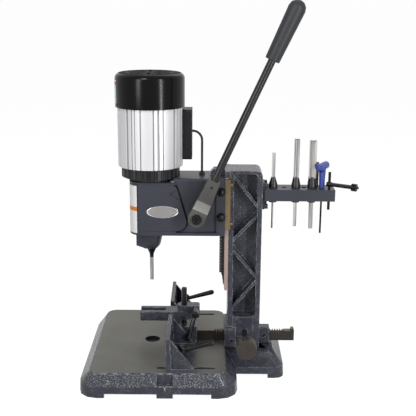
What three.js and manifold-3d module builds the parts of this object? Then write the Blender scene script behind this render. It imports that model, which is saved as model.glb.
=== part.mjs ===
// Benchtop mortiser: a drill motor on a lever-fed head drives an auger inside a square hollow chisel.
// Millimetres, Z up. X 0, Y 0 is the spindle axis while the parts are made, and Z 0 is the bench.
// The operator stands at -X, the column is at +X, and the feed handle is on the -Y side.
import * as THREE from 'three';
import { mergeVertices } from 'three/addons/utils/BufferGeometryUtils.js';
import Module from 'manifold-3d';

const wasm = await Module();
wasm.setup();

// Clearances, the overrun of cuts, the bite of one joined solid into another, and face counts
const seatGap = 0.3;
const overrun = 3;
const bite = 1;
const edgeBreak = 1;
const weldTolerance = 0.0001;
const fineSides = 32;
const roundSides = 16;
const smallSides = 8;
const cornerSteps = 3;
const pressureAngle = THREE.MathUtils.degToRad(20);
const backlash = 0.6;
const dedendumShare = 1.25;

// Base casting with its ground table
const baseLength = 371;
const baseFront = 161;
const baseWidth = 416;
const baseCornerRadius = 45;
const skirtHeight = 27;
const tableHeight = 57;
const tableStep = 1.5;
const tableInsetFront = 27;
const tableInsetSide = 13;
const tableInsetRear = 29;
const tableCornerRadius = 22;
const tableThickness = 11;
const baseWall = 9;
const footHeight = 10;
const chipHoleDiameter = 38;
const slotWidth = 9;
const slotStart = 20;
const slotEnd = 158;
const slotInset = 42;
const plinthRear = 326;
const plinthWidth = 200;
const plinthTop = 52;
const baseRibThickness = 7;

// Column casting, its slide way and its rack
const columnFront = 187.3;
const columnRear = 267;
const columnWidth = 80;
const columnTop = 501.5;
const columnWeb = 12;
const flangeThickness = 12;
const pocketBottom = 136;
const columnSlab = 8;
const columnRib = 7;
const wayFront = 178.3;
const wayWidth = 90;
const wayBottom = 205;
const wayTop = 485.3;
const headRackWidth = 16;
const headRackThickness = 11.4;
const headRackBottom = 232;
const headRackTop = 484;
const rackSeatBottom = 207;
const rackSeatThickness = 4.5;

// Feed gear: a sector of a wheel that rolls on the upright rack
const feedModule = 2.5;
const feedTeeth = 46;
const feedWidth = 14;
const feedPitchRadius = feedModule * feedTeeth / 2;
const rackPitchX = wayFront - seatGap - headRackThickness + feedModule;
const hubX = rackPitchX - feedPitchRadius;
const hubZ = 401.5;
const feedShaftRadius = 10;

// Head casting
const headFront = 49;
const headWidth = 116;
const headRearWidth = 100;
const headBottom = 347;
const headTop = 484;
const headSaddleFront = 157.5;
const headSaddleWidth = 112;
const headWall = 8;
const chamberRear = 44;
const doorRear = 88;
const doorTopRear = 64;
const doorBottom = 358;
const doorTop = 470;
const doorFront = -28;
const doorThickness = 7;
const bossRadius = 26.5;
const bossLength = 16;
const lobeReach = 36;
const lobeBottom = 309;
const noseBottom = 300.5;
const noseRadius = 14.5;
const keeperTop = 483.5;
const keeperBottom = 362;
const keeperLip = 3.5;

// Motor
const motorRadius = 77;
const motorBottom = 507.5;
const motorTop = 647.5;
const coverRadius = 82;
const coverHeight = 79.5;
const coverTop = motorTop + coverHeight;
const endBellRadius = 69.5;
const motorWall = 9;
const boxDepth = 22;
const boxNear = -12;
const boxWidth = 60;
const boxBottom = motorBottom + 14.5;
const boxTop = motorTop - 6.5;
const leadRadius = 2.8;

// Spindle, chuck and tooling
const spindleRadius = 8;
const chuckTop = 446;
const chuckRadius = 21;
const chuckLength = 46;
const bushingRadius = 12.3;
const chiselShankRadius = 9.5;
const chiselSide = 9;
const chiselTip = 218;
const chiselShoulder = 275;
const augerRadius = 2.6;

// Feed handle
const handleLean = THREE.MathUtils.degToRad(24.6);
const handleY = -97;
const handleArmThickness = 22;
const handleHubRadius = 20;
const handleArmLength = 98;
const handleArmTopWidth = 28;
const handleRodRadius = 8.8;
const gripStart = 397;
const gripLength = 142;
const gripRadius = 20;

// Fence with its rack bar, knob and lock levers
const fenceFront = 43.5;
const fenceThickness = 13;
const fenceTopThickness = 9;
const fenceInset = 13;
const fenceTop = 141;
const fenceFlangeRear = 108;
const fenceFlangeThickness = 10;
const fenceNotchBottom = 92;
const fenceNotchWidth = 88;
const fenceBossTop = 100;
const fenceBossWidth = 44;
const barWidth = 16;
const barBottom = 58.5;
const barTop = 84;
const barFront = 68;
const barRear = 357;
const barModule = 2;
const knobTeeth = 14;
const knobX = 231;
const knobPitchRadius = barModule * knobTeeth / 2;
const knobZ = barTop - barModule + knobPitchRadius;
const knobFace = 152;
const knobRadius = 24.5;
const knobLength = 28;
const knobShaftRadius = 7;
const studX = 80;
const studRadius = 4;
const lockLeverZ = 90;

// Hold-down fork on its post
const postRadius = 6.75;
const postTop = 196;
const forkFront = -29;
const forkCrotch = 36;
const forkHalfWidth = 21;
const forkSlot = 18;
const forkBottom = 114.5;
const forkTop = 138.5;
const forkHubRadius = 17;
const forkHubTop = 152;

// Tool holder behind the column and what it stores
const holderTop = 454;
const holderHeight = 28;
const holderWidth = 58;
const holderRear = 441;
const holderWall = 4;
const holderPlateThickness = 6;
const holderPlateTop = 469;
const holderPlateBottom = 404;
const storedShankRadius = 9.5;

// Derived places used by several pieces
const baseRear = baseLength - baseFront;
const slotOffset = baseWidth / 2 - slotInset;
const fenceWidth = baseWidth - 2 * fenceInset;
const tableFront = tableInsetFront - baseFront;
const tableRear = baseRear - tableInsetRear;
const tableSide = baseWidth / 2 - tableInsetSide;
const tableUnderside = tableHeight - tableThickness;
const wayRear = columnFront - seatGap;
const headRear = wayFront - seatGap;
const holderFront = columnRear + seatGap + holderPlateThickness;

// Finishes
const hammerPaint = () => finish(0x454955, 0.5, 0.3);
const headPaint = () => finish(0x4a4d57, 0.5, 0.25);
const groundIron = () => finish(0x8b8b83, 0.45, 0.8);
const brightSteel = () => finish(0xb9bbbe, 0.3, 0.95);
const blackSteel = () => finish(0x1c1c1e, 0.4, 0.7);
const blackPaint = () => finish(0x111113, 0.25, 0.1);
const castAluminium = () => finish(0xc9cbce, 0.35, 0.85);
const bronze = () => finish(0x8f7546, 0.45, 0.8);
const blackRubber = () => finish(0x2b2b2d, 0.8, 0);
const bluePlastic = () => finish(0x32459a, 0.45, 0);
const redPlastic = () => finish(0xb01f1f, 0.4, 0);
const bareWood = () => finish(0x9a8a66, 0.8, 0);
const copper = () => finish(0x9a5b35, 0.5, 0.6);

function finish(color, roughness, metalness) {
  return new THREE.MeshStandardMaterial({ color, roughness, metalness, flatShading: true });
}

// Turns a closed three.js geometry into a solid that can be cut and joined
function solidOf(source) {
  const geometry = source.clone();
  geometry.deleteAttribute('normal');
  geometry.deleteAttribute('uv');
  const merged = mergeVertices(geometry, weldTolerance);
  const corners = merged.index.array;
  const triangles = [];
  for (let i = 0; i < corners.length; i += 3) {
    const [a, b, c] = [corners[i], corners[i + 1], corners[i + 2]];
    if (a !== b && b !== c && c !== a) triangles.push(a, b, c);
  }
  const points = merged.attributes.position.array;
  if (signedVolume(points, triangles) < 0) triangles.reverse();
  return new wasm.Manifold(new wasm.Mesh({
    numProp: 3,
    vertProperties: new Float32Array(points),
    triVerts: new Uint32Array(triangles),
  }));
}

function signedVolume(points, triangles) {
  const [a, b, c] = [new THREE.Vector3(), new THREE.Vector3(), new THREE.Vector3()];
  let total = 0;
  for (let i = 0; i < triangles.length; i += 3) {
    a.fromArray(points, 3 * triangles[i]);
    b.fromArray(points, 3 * triangles[i + 1]);
    c.fromArray(points, 3 * triangles[i + 2]);
    total += a.dot(b.cross(c));
  }
  return total;
}

function geometryOf(solid) {
  const mesh = solid.getMesh();
  const geometry = new THREE.BufferGeometry();
  geometry.setAttribute('position', new THREE.BufferAttribute(mesh.vertProperties, mesh.numProp));
  geometry.setIndex(new THREE.BufferAttribute(mesh.triVerts, 1));
  geometry.computeVertexNormals();
  return geometry;
}

const join = (...solids) => solids.reduce((whole, next) => whole.add(next));
const cut = (body, ...tools) => tools.reduce((whole, tool) => whole.subtract(tool), body);

// A box between two corners
function block(x0, x1, y0, y1, z0, z1) {
  const box = new THREE.BoxGeometry(x1 - x0, y1 - y0, z1 - z0);
  box.translate((x0 + x1) / 2, (y0 + y1) / 2, (z0 + z1) / 2);
  return solidOf(box);
}

// Turns a shape's own Z axis to the named axis and moves it to a place
function aim(geometry, axis, place) {
  const quarter = Math.PI / 2;
  if (axis === 'x') geometry.rotateY(quarter);
  if (axis === '-x') geometry.rotateY(-quarter);
  if (axis === 'y') geometry.rotateX(-quarter);
  if (axis === '-y') geometry.rotateX(quarter);
  if (axis === '-z') geometry.rotateX(2 * quarter);
  return geometry.translate(...place);
}

// A body of revolution: profile is a list of [radius, height] that closes through the axis
function turned(profile, axis = 'z', place = [0, 0, 0], sides = roundSides) {
  const points = profile.map(([radius, height]) => new THREE.Vector2(radius, height));
  const lathe = new THREE.LatheGeometry(points, sides);
  lathe.rotateX(Math.PI / 2);
  return solidOf(aim(lathe, axis, place));
}

function rod(radius, length, axis, place, sides = roundSides) {
  return turned([[0, 0], [radius, 0], [radius, length], [0, length]], axis, place, sides);
}

function ringOf(outer, inner, length, axis, place, sides = roundSides) {
  const profile = [[inner, 0], [outer, 0], [outer, length], [inner, length], [inner, 0]];
  return turned(profile, axis, place, sides);
}

function extruded(shape, depth, curveSegments = cornerSteps) {
  return new THREE.ExtrudeGeometry(shape, { depth, bevelEnabled: false, curveSegments });
}

// An outline in the XZ plane, made solid between two Y values
function sideProfile(shape, y0, y1) {
  const body = extruded(shape, y1 - y0);
  body.rotateX(Math.PI / 2);
  return solidOf(body.translate(0, y1, 0));
}

// An outline in the XY plane, made solid between two heights
function planProfile(shape, z0, z1, steps = cornerSteps) {
  return solidOf(extruded(shape, z1 - z0, steps).translate(0, 0, z0));
}

// An outline in the YZ plane, made solid between two X values
function frontProfile(shape, x0, x1) {
  const body = extruded(shape, x1 - x0);
  const basis = new THREE.Matrix4().makeBasis(
    new THREE.Vector3(0, 1, 0), new THREE.Vector3(0, 0, 1), new THREE.Vector3(1, 0, 0));
  return solidOf(body.applyMatrix4(basis).translate(x0, 0, 0));
}

// An even outline, such as a knurl, extruded along the named axis from a place
function prism(shape, length, axis, place) {
  return solidOf(aim(extruded(shape, length), axis, place));
}

function polygon(points) {
  return new THREE.Shape(points.map(([x, y]) => new THREE.Vector2(x, y)));
}

// A rectangle whose four corners are rounded, as a shape
function roundedShape(x0, x1, y0, y1, radius) {
  const shape = new THREE.Shape();
  const half = Math.PI / 2;
  shape.absarc(x1 - radius, y1 - radius, radius, 0, half, false);
  shape.absarc(x0 + radius, y1 - radius, radius, half, 2 * half, false);
  shape.absarc(x0 + radius, y0 + radius, radius, 2 * half, 3 * half, false);
  shape.absarc(x1 - radius, y0 + radius, radius, 3 * half, 4 * half, false);
  shape.closePath();
  return shape;
}

// One closed ring of points for a loft: a rounded rectangle at one height
function loftRing(x0, x1, halfWidth, radius, z) {
  const points = [];
  const corners = [[x1, 1, 1, 0], [x0, -1, 1, 1], [x0, -1, -1, 2], [x1, 1, -1, 3]];
  for (const [x, sideX, sideY, quarter] of corners) {
    for (let i = 0; i <= cornerSteps; i++) {
      const angle = (quarter + i / cornerSteps) * Math.PI / 2;
      const px = x - sideX * radius + radius * Math.cos(angle);
      const py = sideY * (halfWidth - radius) + radius * Math.sin(angle);
      points.push(new THREE.Vector3(px, py, z));
    }
  }
  return points;
}

// A skin through rings that have the same number of points; ends lists the faces that close one end
function skin(rings, ends) {
  const count = rings[0].length;
  const positions = rings.flat().flatMap((point) => point.toArray());
  const index = [];
  for (let level = 0; level + 1 < rings.length; level++) {
    for (let i = 0; i < count; i++) {
      const a = level * count + i;
      const b = level * count + (i + 1) % count;
      index.push(a, b, b + count, a, b + count, a + count);
    }
  }
  const top = (rings.length - 1) * count;
  for (const [a, b, c] of ends) index.push(a, c, b, top + a, top + b, top + c);
  const geometry = new THREE.BufferGeometry();
  geometry.setAttribute('position', new THREE.Float32BufferAttribute(positions, 3));
  geometry.setIndex(index);
  return solidOf(geometry);
}

// Level rings are closed by the faces of their outline
function loft(rings) {
  const flat = rings[0].map((point) => new THREE.Vector2(point.x, point.y));
  return skin(rings, THREE.ShapeUtils.triangulateShape(flat, []));
}

// Rings that stand at any angle are closed by a fan of faces
function pipe(rings) {
  return skin(rings, rings[0].slice(2).map((point, i) => [0, i + 1, i + 2]));
}

// The outline of a toothed wheel or of a sector of one, teeth counted from the start angle
function toothedShape(module, teeth, firstTooth, lastTooth, hubRadius, phase = 0) {
  const pitchRadius = module * teeth / 2;
  const pitchAngle = 2 * Math.PI / teeth;
  const tipRadius = pitchRadius + module;
  const rootRadius = pitchRadius - dedendumShare * module;
  const rootWiden = 1.2;
  const pitchHalf = (Math.PI * module - backlash) / 4;
  const tipHalf = pitchHalf - 1.15 * module * Math.tan(pressureAngle);
  const points = [];
  for (let tooth = firstTooth; tooth <= lastTooth; tooth++) {
    const middle = phase + tooth * pitchAngle;
    const flanks = [
      [rootRadius, -pitchHalf / pitchRadius * rootWiden], [pitchRadius, -pitchHalf / pitchRadius],
      [tipRadius, -tipHalf / tipRadius], [tipRadius, tipHalf / tipRadius],
      [pitchRadius, pitchHalf / pitchRadius], [rootRadius, pitchHalf / pitchRadius * rootWiden],
    ];
    for (const [radius, turn] of flanks) {
      points.push([radius * Math.cos(middle + turn), radius * Math.sin(middle + turn)]);
    }
  }
  if (lastTooth - firstTooth + 1 < teeth) {
    const steps = smallSides / 2;
    const start = phase + (lastTooth + 1) * pitchAngle;
    const sweep = 2 * Math.PI - (lastTooth - firstTooth + 2) * pitchAngle;
    for (let i = 0; i <= steps; i++) {
      const angle = start + sweep * i / steps;
      points.push([hubRadius * Math.cos(angle), hubRadius * Math.sin(angle)]);
    }
  }
  return polygon(points);
}

// Straight rack teeth as [along, height] points, with a gap centred on the phase point
function rackPoints(module, start, end, phase, pitchHeight) {
  const pitch = Math.PI * module;
  const pitchHalf = (pitch - backlash) / 4;
  const spread = module * Math.tan(pressureAngle);
  const first = Math.ceil((start + pitch / 2 - phase) / pitch);
  const last = Math.floor((end - pitch / 2 - phase) / pitch) - 1;
  const points = [];
  for (let tooth = first; tooth <= last; tooth++) {
    const middle = phase + (tooth + 0.5) * pitch;
    points.push([middle - pitchHalf - dedendumShare * spread, pitchHeight - dedendumShare * module]);
    points.push([middle - pitchHalf + spread, pitchHeight + module]);
    points.push([middle + pitchHalf - spread, pitchHeight + module]);
    points.push([middle + pitchHalf + dedendumShare * spread, pitchHeight - dedendumShare * module]);
  }
  return points;
}

// Wheel rim with even grooves, for knurls, flutes and ribs
function flutedShape(outer, inner, count, landShare) {
  const points = [];
  const pitch = 2 * Math.PI / count;
  for (let i = 0; i < count; i++) {
    const middle = i * pitch;
    const land = pitch * landShare / 2;
    const floor = pitch / 2 - land * 1.15;
    points.push([outer * Math.cos(middle - land), outer * Math.sin(middle - land)]);
    points.push([outer * Math.cos(middle + land), outer * Math.sin(middle + land)]);
    const next = middle + pitch / 2;
    points.push([inner * Math.cos(next - floor / 2), inner * Math.sin(next - floor / 2)]);
    points.push([inner * Math.cos(next + floor / 2), inner * Math.sin(next + floor / 2)]);
  }
  return polygon(points);
}

// A socket head cap screw whose head stands at the start and whose shank runs along the axis
function capScrew(shankRadius, shankLength, axis, place, sides = smallSides) {
  const headRadius = shankRadius * 1.6;
  const headLength = shankRadius * 2;
  const socketRadius = shankRadius * 0.9;
  const socketDepth = shankRadius;
  const profile = [
    [0, socketDepth - headLength], [socketRadius, socketDepth - headLength], [socketRadius, -headLength],
    [headRadius, -headLength], [headRadius, 0], [shankRadius, 0], [shankRadius, shankLength],
    [0, shankLength],
  ];
  return turned(profile, axis, place, sides);
}

const model = new THREE.Group();
const frameGroup = new THREE.Group();
const headGroup = new THREE.Group();
const fenceGroup = new THREE.Group();
model.add(frameGroup, headGroup, fenceGroup);

function addPart(group, name, solid, material) {
  const mesh = new THREE.Mesh(geometryOf(solid), material);
  mesh.name = name;
  group.add(mesh);
  return mesh;
}

// Base: a hollow ribbed casting with a sloping skirt, a ground table and six feet under its edge
function baseCasting() {
  const draft = 1.5;
  const side = baseWidth / 2;
  const rim = 2;
  const shoulder = tableHeight - tableStep;
  const tableRing = (grow, z) => loftRing(
    tableFront - grow, tableRear + grow, tableSide + grow, tableCornerRadius + grow, z);
  const skirt = loft([
    loftRing(-baseFront, baseRear, side, baseCornerRadius, 0),
    loftRing(draft - baseFront, baseRear - draft, side - draft, baseCornerRadius, skirtHeight),
    tableRing(rim, shoulder),
  ]);
  const table = loft([tableRing(0, shoulder - overrun), tableRing(0, tableHeight)]);
  const plinthFront = tableFront + baseLength / 2;
  const plinthSide = plinthWidth / 2;
  const plinthRise = plinthTop - skirtHeight;
  const plinth = loft([
    loftRing(plinthFront, plinthRear, plinthSide, baseCornerRadius / 2, 0),
    loftRing(plinthFront, plinthRear - draft, plinthSide - draft, baseCornerRadius / 2, skirtHeight),
    loftRing(plinthFront, plinthRear - plinthRise * 0.6, plinthSide - plinthRise, baseCornerRadius / 2,
      skirtHeight + plinthRise / 2),
    loftRing(plinthFront, plinthRear - plinthRise, plinthSide - 2 * plinthRise, baseCornerRadius / 3,
      plinthTop),
  ]);
  const casting = cut(join(skirt, table, plinth), ...baseHollows(), ...footArches(), ...tableOpenings(),
    ...benchBoltPockets(), columnSeat());
  return join(casting, ...columnBolts());
}

// The underside is open between the ribs
function baseHollows() {
  const side = baseWidth / 2 - baseWall;
  const cornerRadius = baseCornerRadius - baseWall;
  const slope = tableInsetSide;
  const hollow = loft([
    loftRing(baseWall - baseFront, baseRear - baseWall, side, cornerRadius, -overrun),
    loftRing(baseWall - baseFront, baseRear - baseWall, side, cornerRadius, skirtHeight - overrun),
    loftRing(tableFront + baseWall, tableRear - baseWall, side - slope, cornerRadius, tableUnderside),
  ]);
  const half = baseRibThickness / 2;
  const ribBottom = footHeight + overrun;
  const ribs = [];
  for (const y of [-plinthWidth / 3, plinthWidth / 3]) {
    ribs.push(block(-baseFront, baseRear, y - half, y + half, ribBottom, tableHeight));
  }
  for (const x of [-baseFront * 0.4, slotEnd + slotWidth + overrun]) {
    ribs.push(block(x - half, x + half, -baseWidth / 2, baseWidth / 2, ribBottom + overrun, tableHeight));
  }
  const rearHollow = planProfile(roundedShape(baseRear + half, plinthRear - baseWall,
    baseWall - plinthWidth / 2, plinthWidth / 2 - baseWall, baseWall), -overrun, skirtHeight - half);
  return [cut(hollow, ...ribs), rearHollow];
}

const midFootX = [22, 60];
const cornerFootLength = 62;

// Gaps under the skirt leave three feet on each long side and two at the back
function footArches() {
  const reach = baseWidth / 2 + overrun;
  const rearFoot = plinthRear - cornerFootLength * 0.65;
  return [
    block(cornerFootLength - baseFront, midFootX[0], -reach, reach, -overrun, footHeight),
    block(midFootX[1], baseRear - cornerFootLength, -reach, reach, -overrun, footHeight),
    block(-baseFront - overrun, baseRear + overrun, cornerFootLength * 1.3 - reach,
      reach - cornerFootLength * 1.3, -overrun, footHeight),
    block(baseRear + overrun, rearFoot, -reach, reach, -overrun, footHeight),
    block(rearFoot - overrun, plinthRear + overrun, cornerFootLength / 1.5 - plinthWidth / 2,
      plinthWidth / 2 - cornerFootLength / 1.5, -overrun, footHeight),
  ];
}

// The chip hole under the chisel and a clamp slot near each end of the fence
function tableOpenings() {
  const openings = [rod(chipHoleDiameter / 2, 2 * tableHeight, 'z', [0, 0, 0])];
  for (const y of [-slotOffset, slotOffset]) {
    const slot = roundedShape(slotStart, slotEnd, y - slotWidth / 2, y + slotWidth / 2, slotWidth / 2.01);
    openings.push(planProfile(slot, tableUnderside - overrun, tableHeight + overrun));
  }
  return openings;
}

// Flat-floored pockets in the skirt over the middle feet, each with a hole for a bench bolt
function benchBoltPockets() {
  const floor = skirtHeight + overrun;
  const reach = baseWidth / 2 + overrun;
  const inner = tableSide + bite;
  const holeRadius = 3;
  const middle = (midFootX[0] + midFootX[1]) / 2;
  const pockets = [];
  for (const side of [-1, 1]) {
    const [y0, y1] = side < 0 ? [-reach, -inner] : [inner, reach];
    pockets.push(block(midFootX[0], midFootX[1], y0, y1, floor, tableHeight + overrun));
    const holeY = side * (baseWidth / 2 - baseWall / 2);
    pockets.push(rod(holeRadius, tableHeight, 'z', [middle, holeY, -overrun], smallSides));
  }
  return pockets;
}

const cheekSetback = 3;
const cheekFront = wayFront + cheekSetback;
const cheekWidth = 100;
const cheekRear = 208;
const cheekTop = 109;
const guideRear = 294;
const guideWidth = 30;
const guideTop = 95;

function columnSeat() {
  const half = cheekWidth / 2 + seatGap;
  return block(cheekFront - seatGap, guideRear + seatGap, -half, half, plinthTop, tableHeight + overrun);
}

const columnBoltRadius = 5;
const columnBoltLength = 40;

function columnBoltPlaces() {
  const inset = columnBoltRadius * 3.6;
  const places = [];
  for (const x of [columnFront + inset, columnRear - inset]) {
    for (const y of [-1, 1]) places.push([x, y * (columnWidth / 2 - columnBoltRadius * 2.2)]);
  }
  return places;
}

// Bolts that hold the column down, screwed up through the plinth from below
function columnBolts() {
  const face = skirtHeight - baseRibThickness / 2;
  return columnBoltPlaces().map(([x, y]) => (
    capScrew(columnBoltRadius, columnBoltLength, 'z', [x, y, face])));
}

// Column: front and rear flanges on a middle web, braced by zigzag ribs, with a solid foot
function columnCasting() {
  const half = columnWidth / 2;
  const cornerRadius = 14;
  const outline = new THREE.Shape();
  outline.moveTo(columnFront, plinthTop + seatGap);
  outline.lineTo(columnRear, plinthTop + seatGap);
  outline.lineTo(columnRear, columnTop - cornerRadius);
  outline.absarc(columnRear - cornerRadius, columnTop - cornerRadius, cornerRadius, 0, Math.PI / 2, false);
  outline.lineTo(columnFront, columnTop);
  const body = sideProfile(outline, -half, half);
  const capHalf = wayWidth / 2;
  const cap = block(wayFront, columnFront + overrun, -capHalf, capHalf, wayTop + seatGap, columnTop);
  const pockets = [-1, 1].map((side) => columnPocket(side));
  const solid = cut(join(body, cap), ...pockets);
  const boltBore = columnBoltRadius + seatGap;
  const holes = columnBoltPlaces().map(([x, y]) => rod(boltBore, columnBoltLength + overrun, 'z',
    [x, y, skirtHeight - baseRibThickness / 2], smallSides));
  return cut(join(solid, ...columnRibs(), ...columnBosses()), barTunnel(), pinionRoom(), ...holes,
    ...guideScrewHoles(), ...holderBoltHoles());
}

function columnPocket(side) {
  const half = columnWidth / 2;
  const [y0, y1] = side < 0 ? [-half - overrun, -columnWeb / 2] : [columnWeb / 2, half + overrun];
  const opening = roundedShape(columnFront + flangeThickness, columnRear - flangeThickness, pocketBottom,
    columnTop - columnSlab, columnRib);
  return sideProfile(opening, y0, y1);
}

// Each rib runs between the flanges; heights are shares of the pocket, read from its top
function columnRibs() {
  const top = columnTop - columnSlab;
  const height = top - pocketBottom;
  const front = columnFront + flangeThickness - bite;
  const rear = columnRear - flangeThickness + bite;
  const relief = 2;
  const edge = columnWidth / 2 - relief;
  const web = columnWeb / 2 - bite;
  const ribShares = [[0.01, 0.22], [0.455, 0.285], [0.525, 0.715], [0.94, 0.745]];
  const ribs = [];
  for (const [frontShare, rearShare] of ribShares) {
    const [zFront, zRear] = [top - frontShare * height, top - rearShare * height];
    const slant = Math.hypot(rear - front, zRear - zFront);
    const rise = columnRib * slant / (rear - front) / 2;
    const shape = polygon([[front, zFront - rise], [rear, zRear - rise], [rear, zRear + rise],
      [front, zFront + rise]]);
    ribs.push(sideProfile(shape, -edge, -web), sideProfile(shape, web, edge));
  }
  return ribs;
}

// Knob pads, clamp cheeks at the front foot and the rack guide at the back
function columnBosses() {
  const foot = plinthTop + seatGap;
  const padProud = 4;
  const half = columnWidth / 2;
  const pad = roundedShape(columnFront + flangeThickness, columnRear - flangeThickness - padProud,
    pocketBottom - cheekRear / 4, pocketBottom, padProud);
  const guide = roundedShape(-guideWidth / 2, guideWidth / 2, foot, guideTop, padProud);
  const cheek = roundedShape(-cheekWidth / 2, cheekWidth / 2, foot, cheekTop, padProud * 2);
  return [
    sideProfile(pad, -half - padProud, half + padProud),
    frontProfile(guide, columnRear - overrun, guideRear),
    frontProfile(cheek, cheekFront, cheekRear),
  ];
}

const slideClearance = 0.4;

function barTunnel() {
  const half = barWidth / 2 + slideClearance;
  return block(cheekFront - overrun, guideRear + overrun, -half, half, barBottom - slideClearance,
    barTop + slideClearance);
}

// Room for the pinion, the bore of its shaft and the blind bore that carries the far end
function pinionRoom() {
  const clearance = 2;
  const room = knobPitchRadius + barModule + clearance;
  const half = barWidth / 2 + slideClearance;
  const bore = knobShaftRadius + seatGap;
  const start = -(columnWidth + cheekWidth) / 4;
  return join(
    rod(room, 2 * half, 'y', [knobX, -half, knobZ]),
    rod(bore, knobBlindEnd - start + overrun, 'y', [knobX, start - overrun, knobZ]));
}

const knobBlindWall = 10;
const knobBlindEnd = columnWidth / 2 - knobBlindWall;
const guideScrewRadius = 4;
const guideScrewZ = 74;
const cheekScrewShift = 4;
const guideScrewPlaces = [
  [(columnRear + guideRear) / 2, guideWidth / 2],
  [(cheekFront + cheekRear) / 2 + cheekScrewShift, cheekWidth / 2],
];

function guideScrewHoles() {
  const bore = guideScrewRadius + seatGap;
  return guideScrewPlaces.map(([x, face]) => rod(bore, face - barWidth / 2 + overrun, 'y',
    [x, -face - overrun, guideScrewZ], smallSides));
}

// A set screw that steadies the rack bar, one in the guide and one in the near cheek
function guideScrew([x, face]) {
  const sunk = 2;
  const socketRadius = guideScrewRadius / 2;
  const length = face - barWidth / 2 - slideClearance - sunk - seatGap;
  const profile = [[0, sunk], [socketRadius, sunk], [socketRadius, 0], [guideScrewRadius, 0],
    [guideScrewRadius, length], [0, length]];
  return turned(profile, 'y', [x, sunk - face, guideScrewZ], smallSides);
}

// Way: the ground plate on the column front that the head slides on, with its countersunk screws
function columnWay() {
  const half = wayWidth / 2;
  const lead = 1.5;
  const leadHeight = 4;
  const outline = polygon([[wayRear, wayBottom], [wayRear, wayTop], [wayFront, wayTop],
    [wayFront, wayBottom + leadHeight], [wayFront + lead, wayBottom]]);
  const headDepth = 3;
  const socketRadius = 3;
  const holes = wayScrewPlaces().map(([y, z]) => rod(socketRadius, headDepth + overrun, 'x',
    [wayFront - overrun, y, z], smallSides / 2));
  return cut(sideProfile(outline, -half, half), ...holes);
}

const wayScrewRows = 4;

function wayScrewPlaces() {
  const places = [];
  const pitch = (wayTop - wayBottom) / wayScrewRows;
  for (let i = 0; i < wayScrewRows; i++) {
    for (const side of [-1, 1]) places.push([side * wayWidth / 4, wayBottom + pitch * (i + 0.5)]);
  }
  return places;
}

// Upright rack on the front of the way
function headRack() {
  const back = wayFront - seatGap;
  const rootX = rackPitchX + dedendumShare * feedModule;
  const teeth = rackPoints(feedModule, headRackBottom, headRackTop, hubZ, -rackPitchX);
  const seatFront = back - rackSeatThickness;
  const points = [[back, rackSeatBottom], [back - rackSeatThickness / 3, rackSeatBottom],
    [seatFront, headRackBottom], [rootX, headRackBottom]];
  for (const [along, height] of teeth) points.push([-height, along]);
  points.push([rootX, headRackTop], [back, headRackTop]);
  return sideProfile(polygon(points), -headRackWidth / 2, headRackWidth / 2);
}

// Stop that the head meets at the top of its travel: a lug on the column with an adjusting bolt
const stopX = 156;
const stopLugFront = 143;
const stopLugBottom = 485.8;
const stopBoltRadius = 4;

function stopLug() {
  const chamfer = 9;
  const half = 13;
  const rear = columnFront + overrun;
  const shape = polygon([[stopLugFront, stopLugBottom], [rear, stopLugBottom], [rear, columnTop],
    [stopLugFront + chamfer, columnTop], [stopLugFront, columnTop - chamfer]]);
  const bore = rod(stopBoltRadius + seatGap, columnTop - headTop + overrun, 'z', [stopX, 0, headTop],
    smallSides);
  return cut(sideProfile(shape, -half, half), bore);
}

// A socket set screw in the lug, sunk below its top
function stopBolt() {
  const tip = headTop + 2 * seatGap;
  const length = columnTop - tip - stopBoltRadius / 2;
  const socketRadius = stopBoltRadius / 2;
  const socketBottom = length - stopBoltRadius;
  return turned([[0, 0], [stopBoltRadius, 0], [stopBoltRadius, length], [socketRadius, length],
    [socketRadius, socketBottom], [0, socketBottom]], 'z', [stopX, 0, tip], smallSides);
}

// Tool holder: a folded channel on a plate bolted behind the column
const holderBoltRadius = 4;
const holderBoltLength = 15;
const holderBoltWall = 2;
const storedX = [294.6, 349.4, 388];
const spareX = [321, 369];
const spareRadius = 6.5;
const hexKeyX = 412;
const chuckKeyX = 428;
const chuckKeyY = -14;
const stickX = 402;
const stickY = 17;
const hexKeyRadius = 2.6;
const chuckKeyBarRadius = 3.5;
const stickRadius = 4;

function toolHolder() {
  const half = holderWidth / 2;
  const plateHalf = half - holderWall;
  const plateShape = roundedShape(-plateHalf, plateHalf, holderPlateBottom, holderPlateTop, holderWall);
  const plate = frontProfile(plateShape, columnRear + seatGap, holderFront);
  const shell = block(holderFront - bite, holderRear, -half, half, holderTop - holderHeight, holderTop);
  const inside = block(holderFront, holderRear - holderWall, holderWall - half, half - holderWall,
    holderTop - holderHeight - overrun, holderTop - holderWall);
  const holes = [
    ...storedX.map((x) => [x, 0, storedShankRadius, roundSides]),
    ...spareX.map((x) => [x, 0, spareRadius, smallSides]),
    [hexKeyX, 0, hexKeyRadius, smallSides], [chuckKeyX, chuckKeyY, chuckKeyBarRadius, smallSides],
    [stickX, stickY, stickRadius, smallSides],
  ].map(([x, y, radius, sides]) => rod(radius + seatGap, holderWall + 2 * overrun, 'z',
    [x, y, holderTop - holderWall - overrun], sides));
  return join(cut(join(plate, shell), inside, ...holes), ...holderBoltPlaces().map(holderBolt));
}

function holderBoltPlaces() {
  const inset = holderBoltRadius * 1.8;
  const side = holderWidth / 2 - 2.4 * holderBoltRadius;
  return [holderPlateTop - inset, holderPlateBottom + inset].flatMap((z) => [[-side, z], [side, z]]);
}

function holderBoltHoles() {
  return holderBoltPlaces().map(([y, z]) => rod(holderBoltRadius + seatGap, 2 * flangeThickness, 'x',
    [columnRear - flangeThickness + holderBoltWall, y, z], smallSides));
}

function holderBolt([y, z]) {
  return capScrew(holderBoltRadius, holderBoltLength, '-x', [holderFront, y, z]);
}

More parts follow.
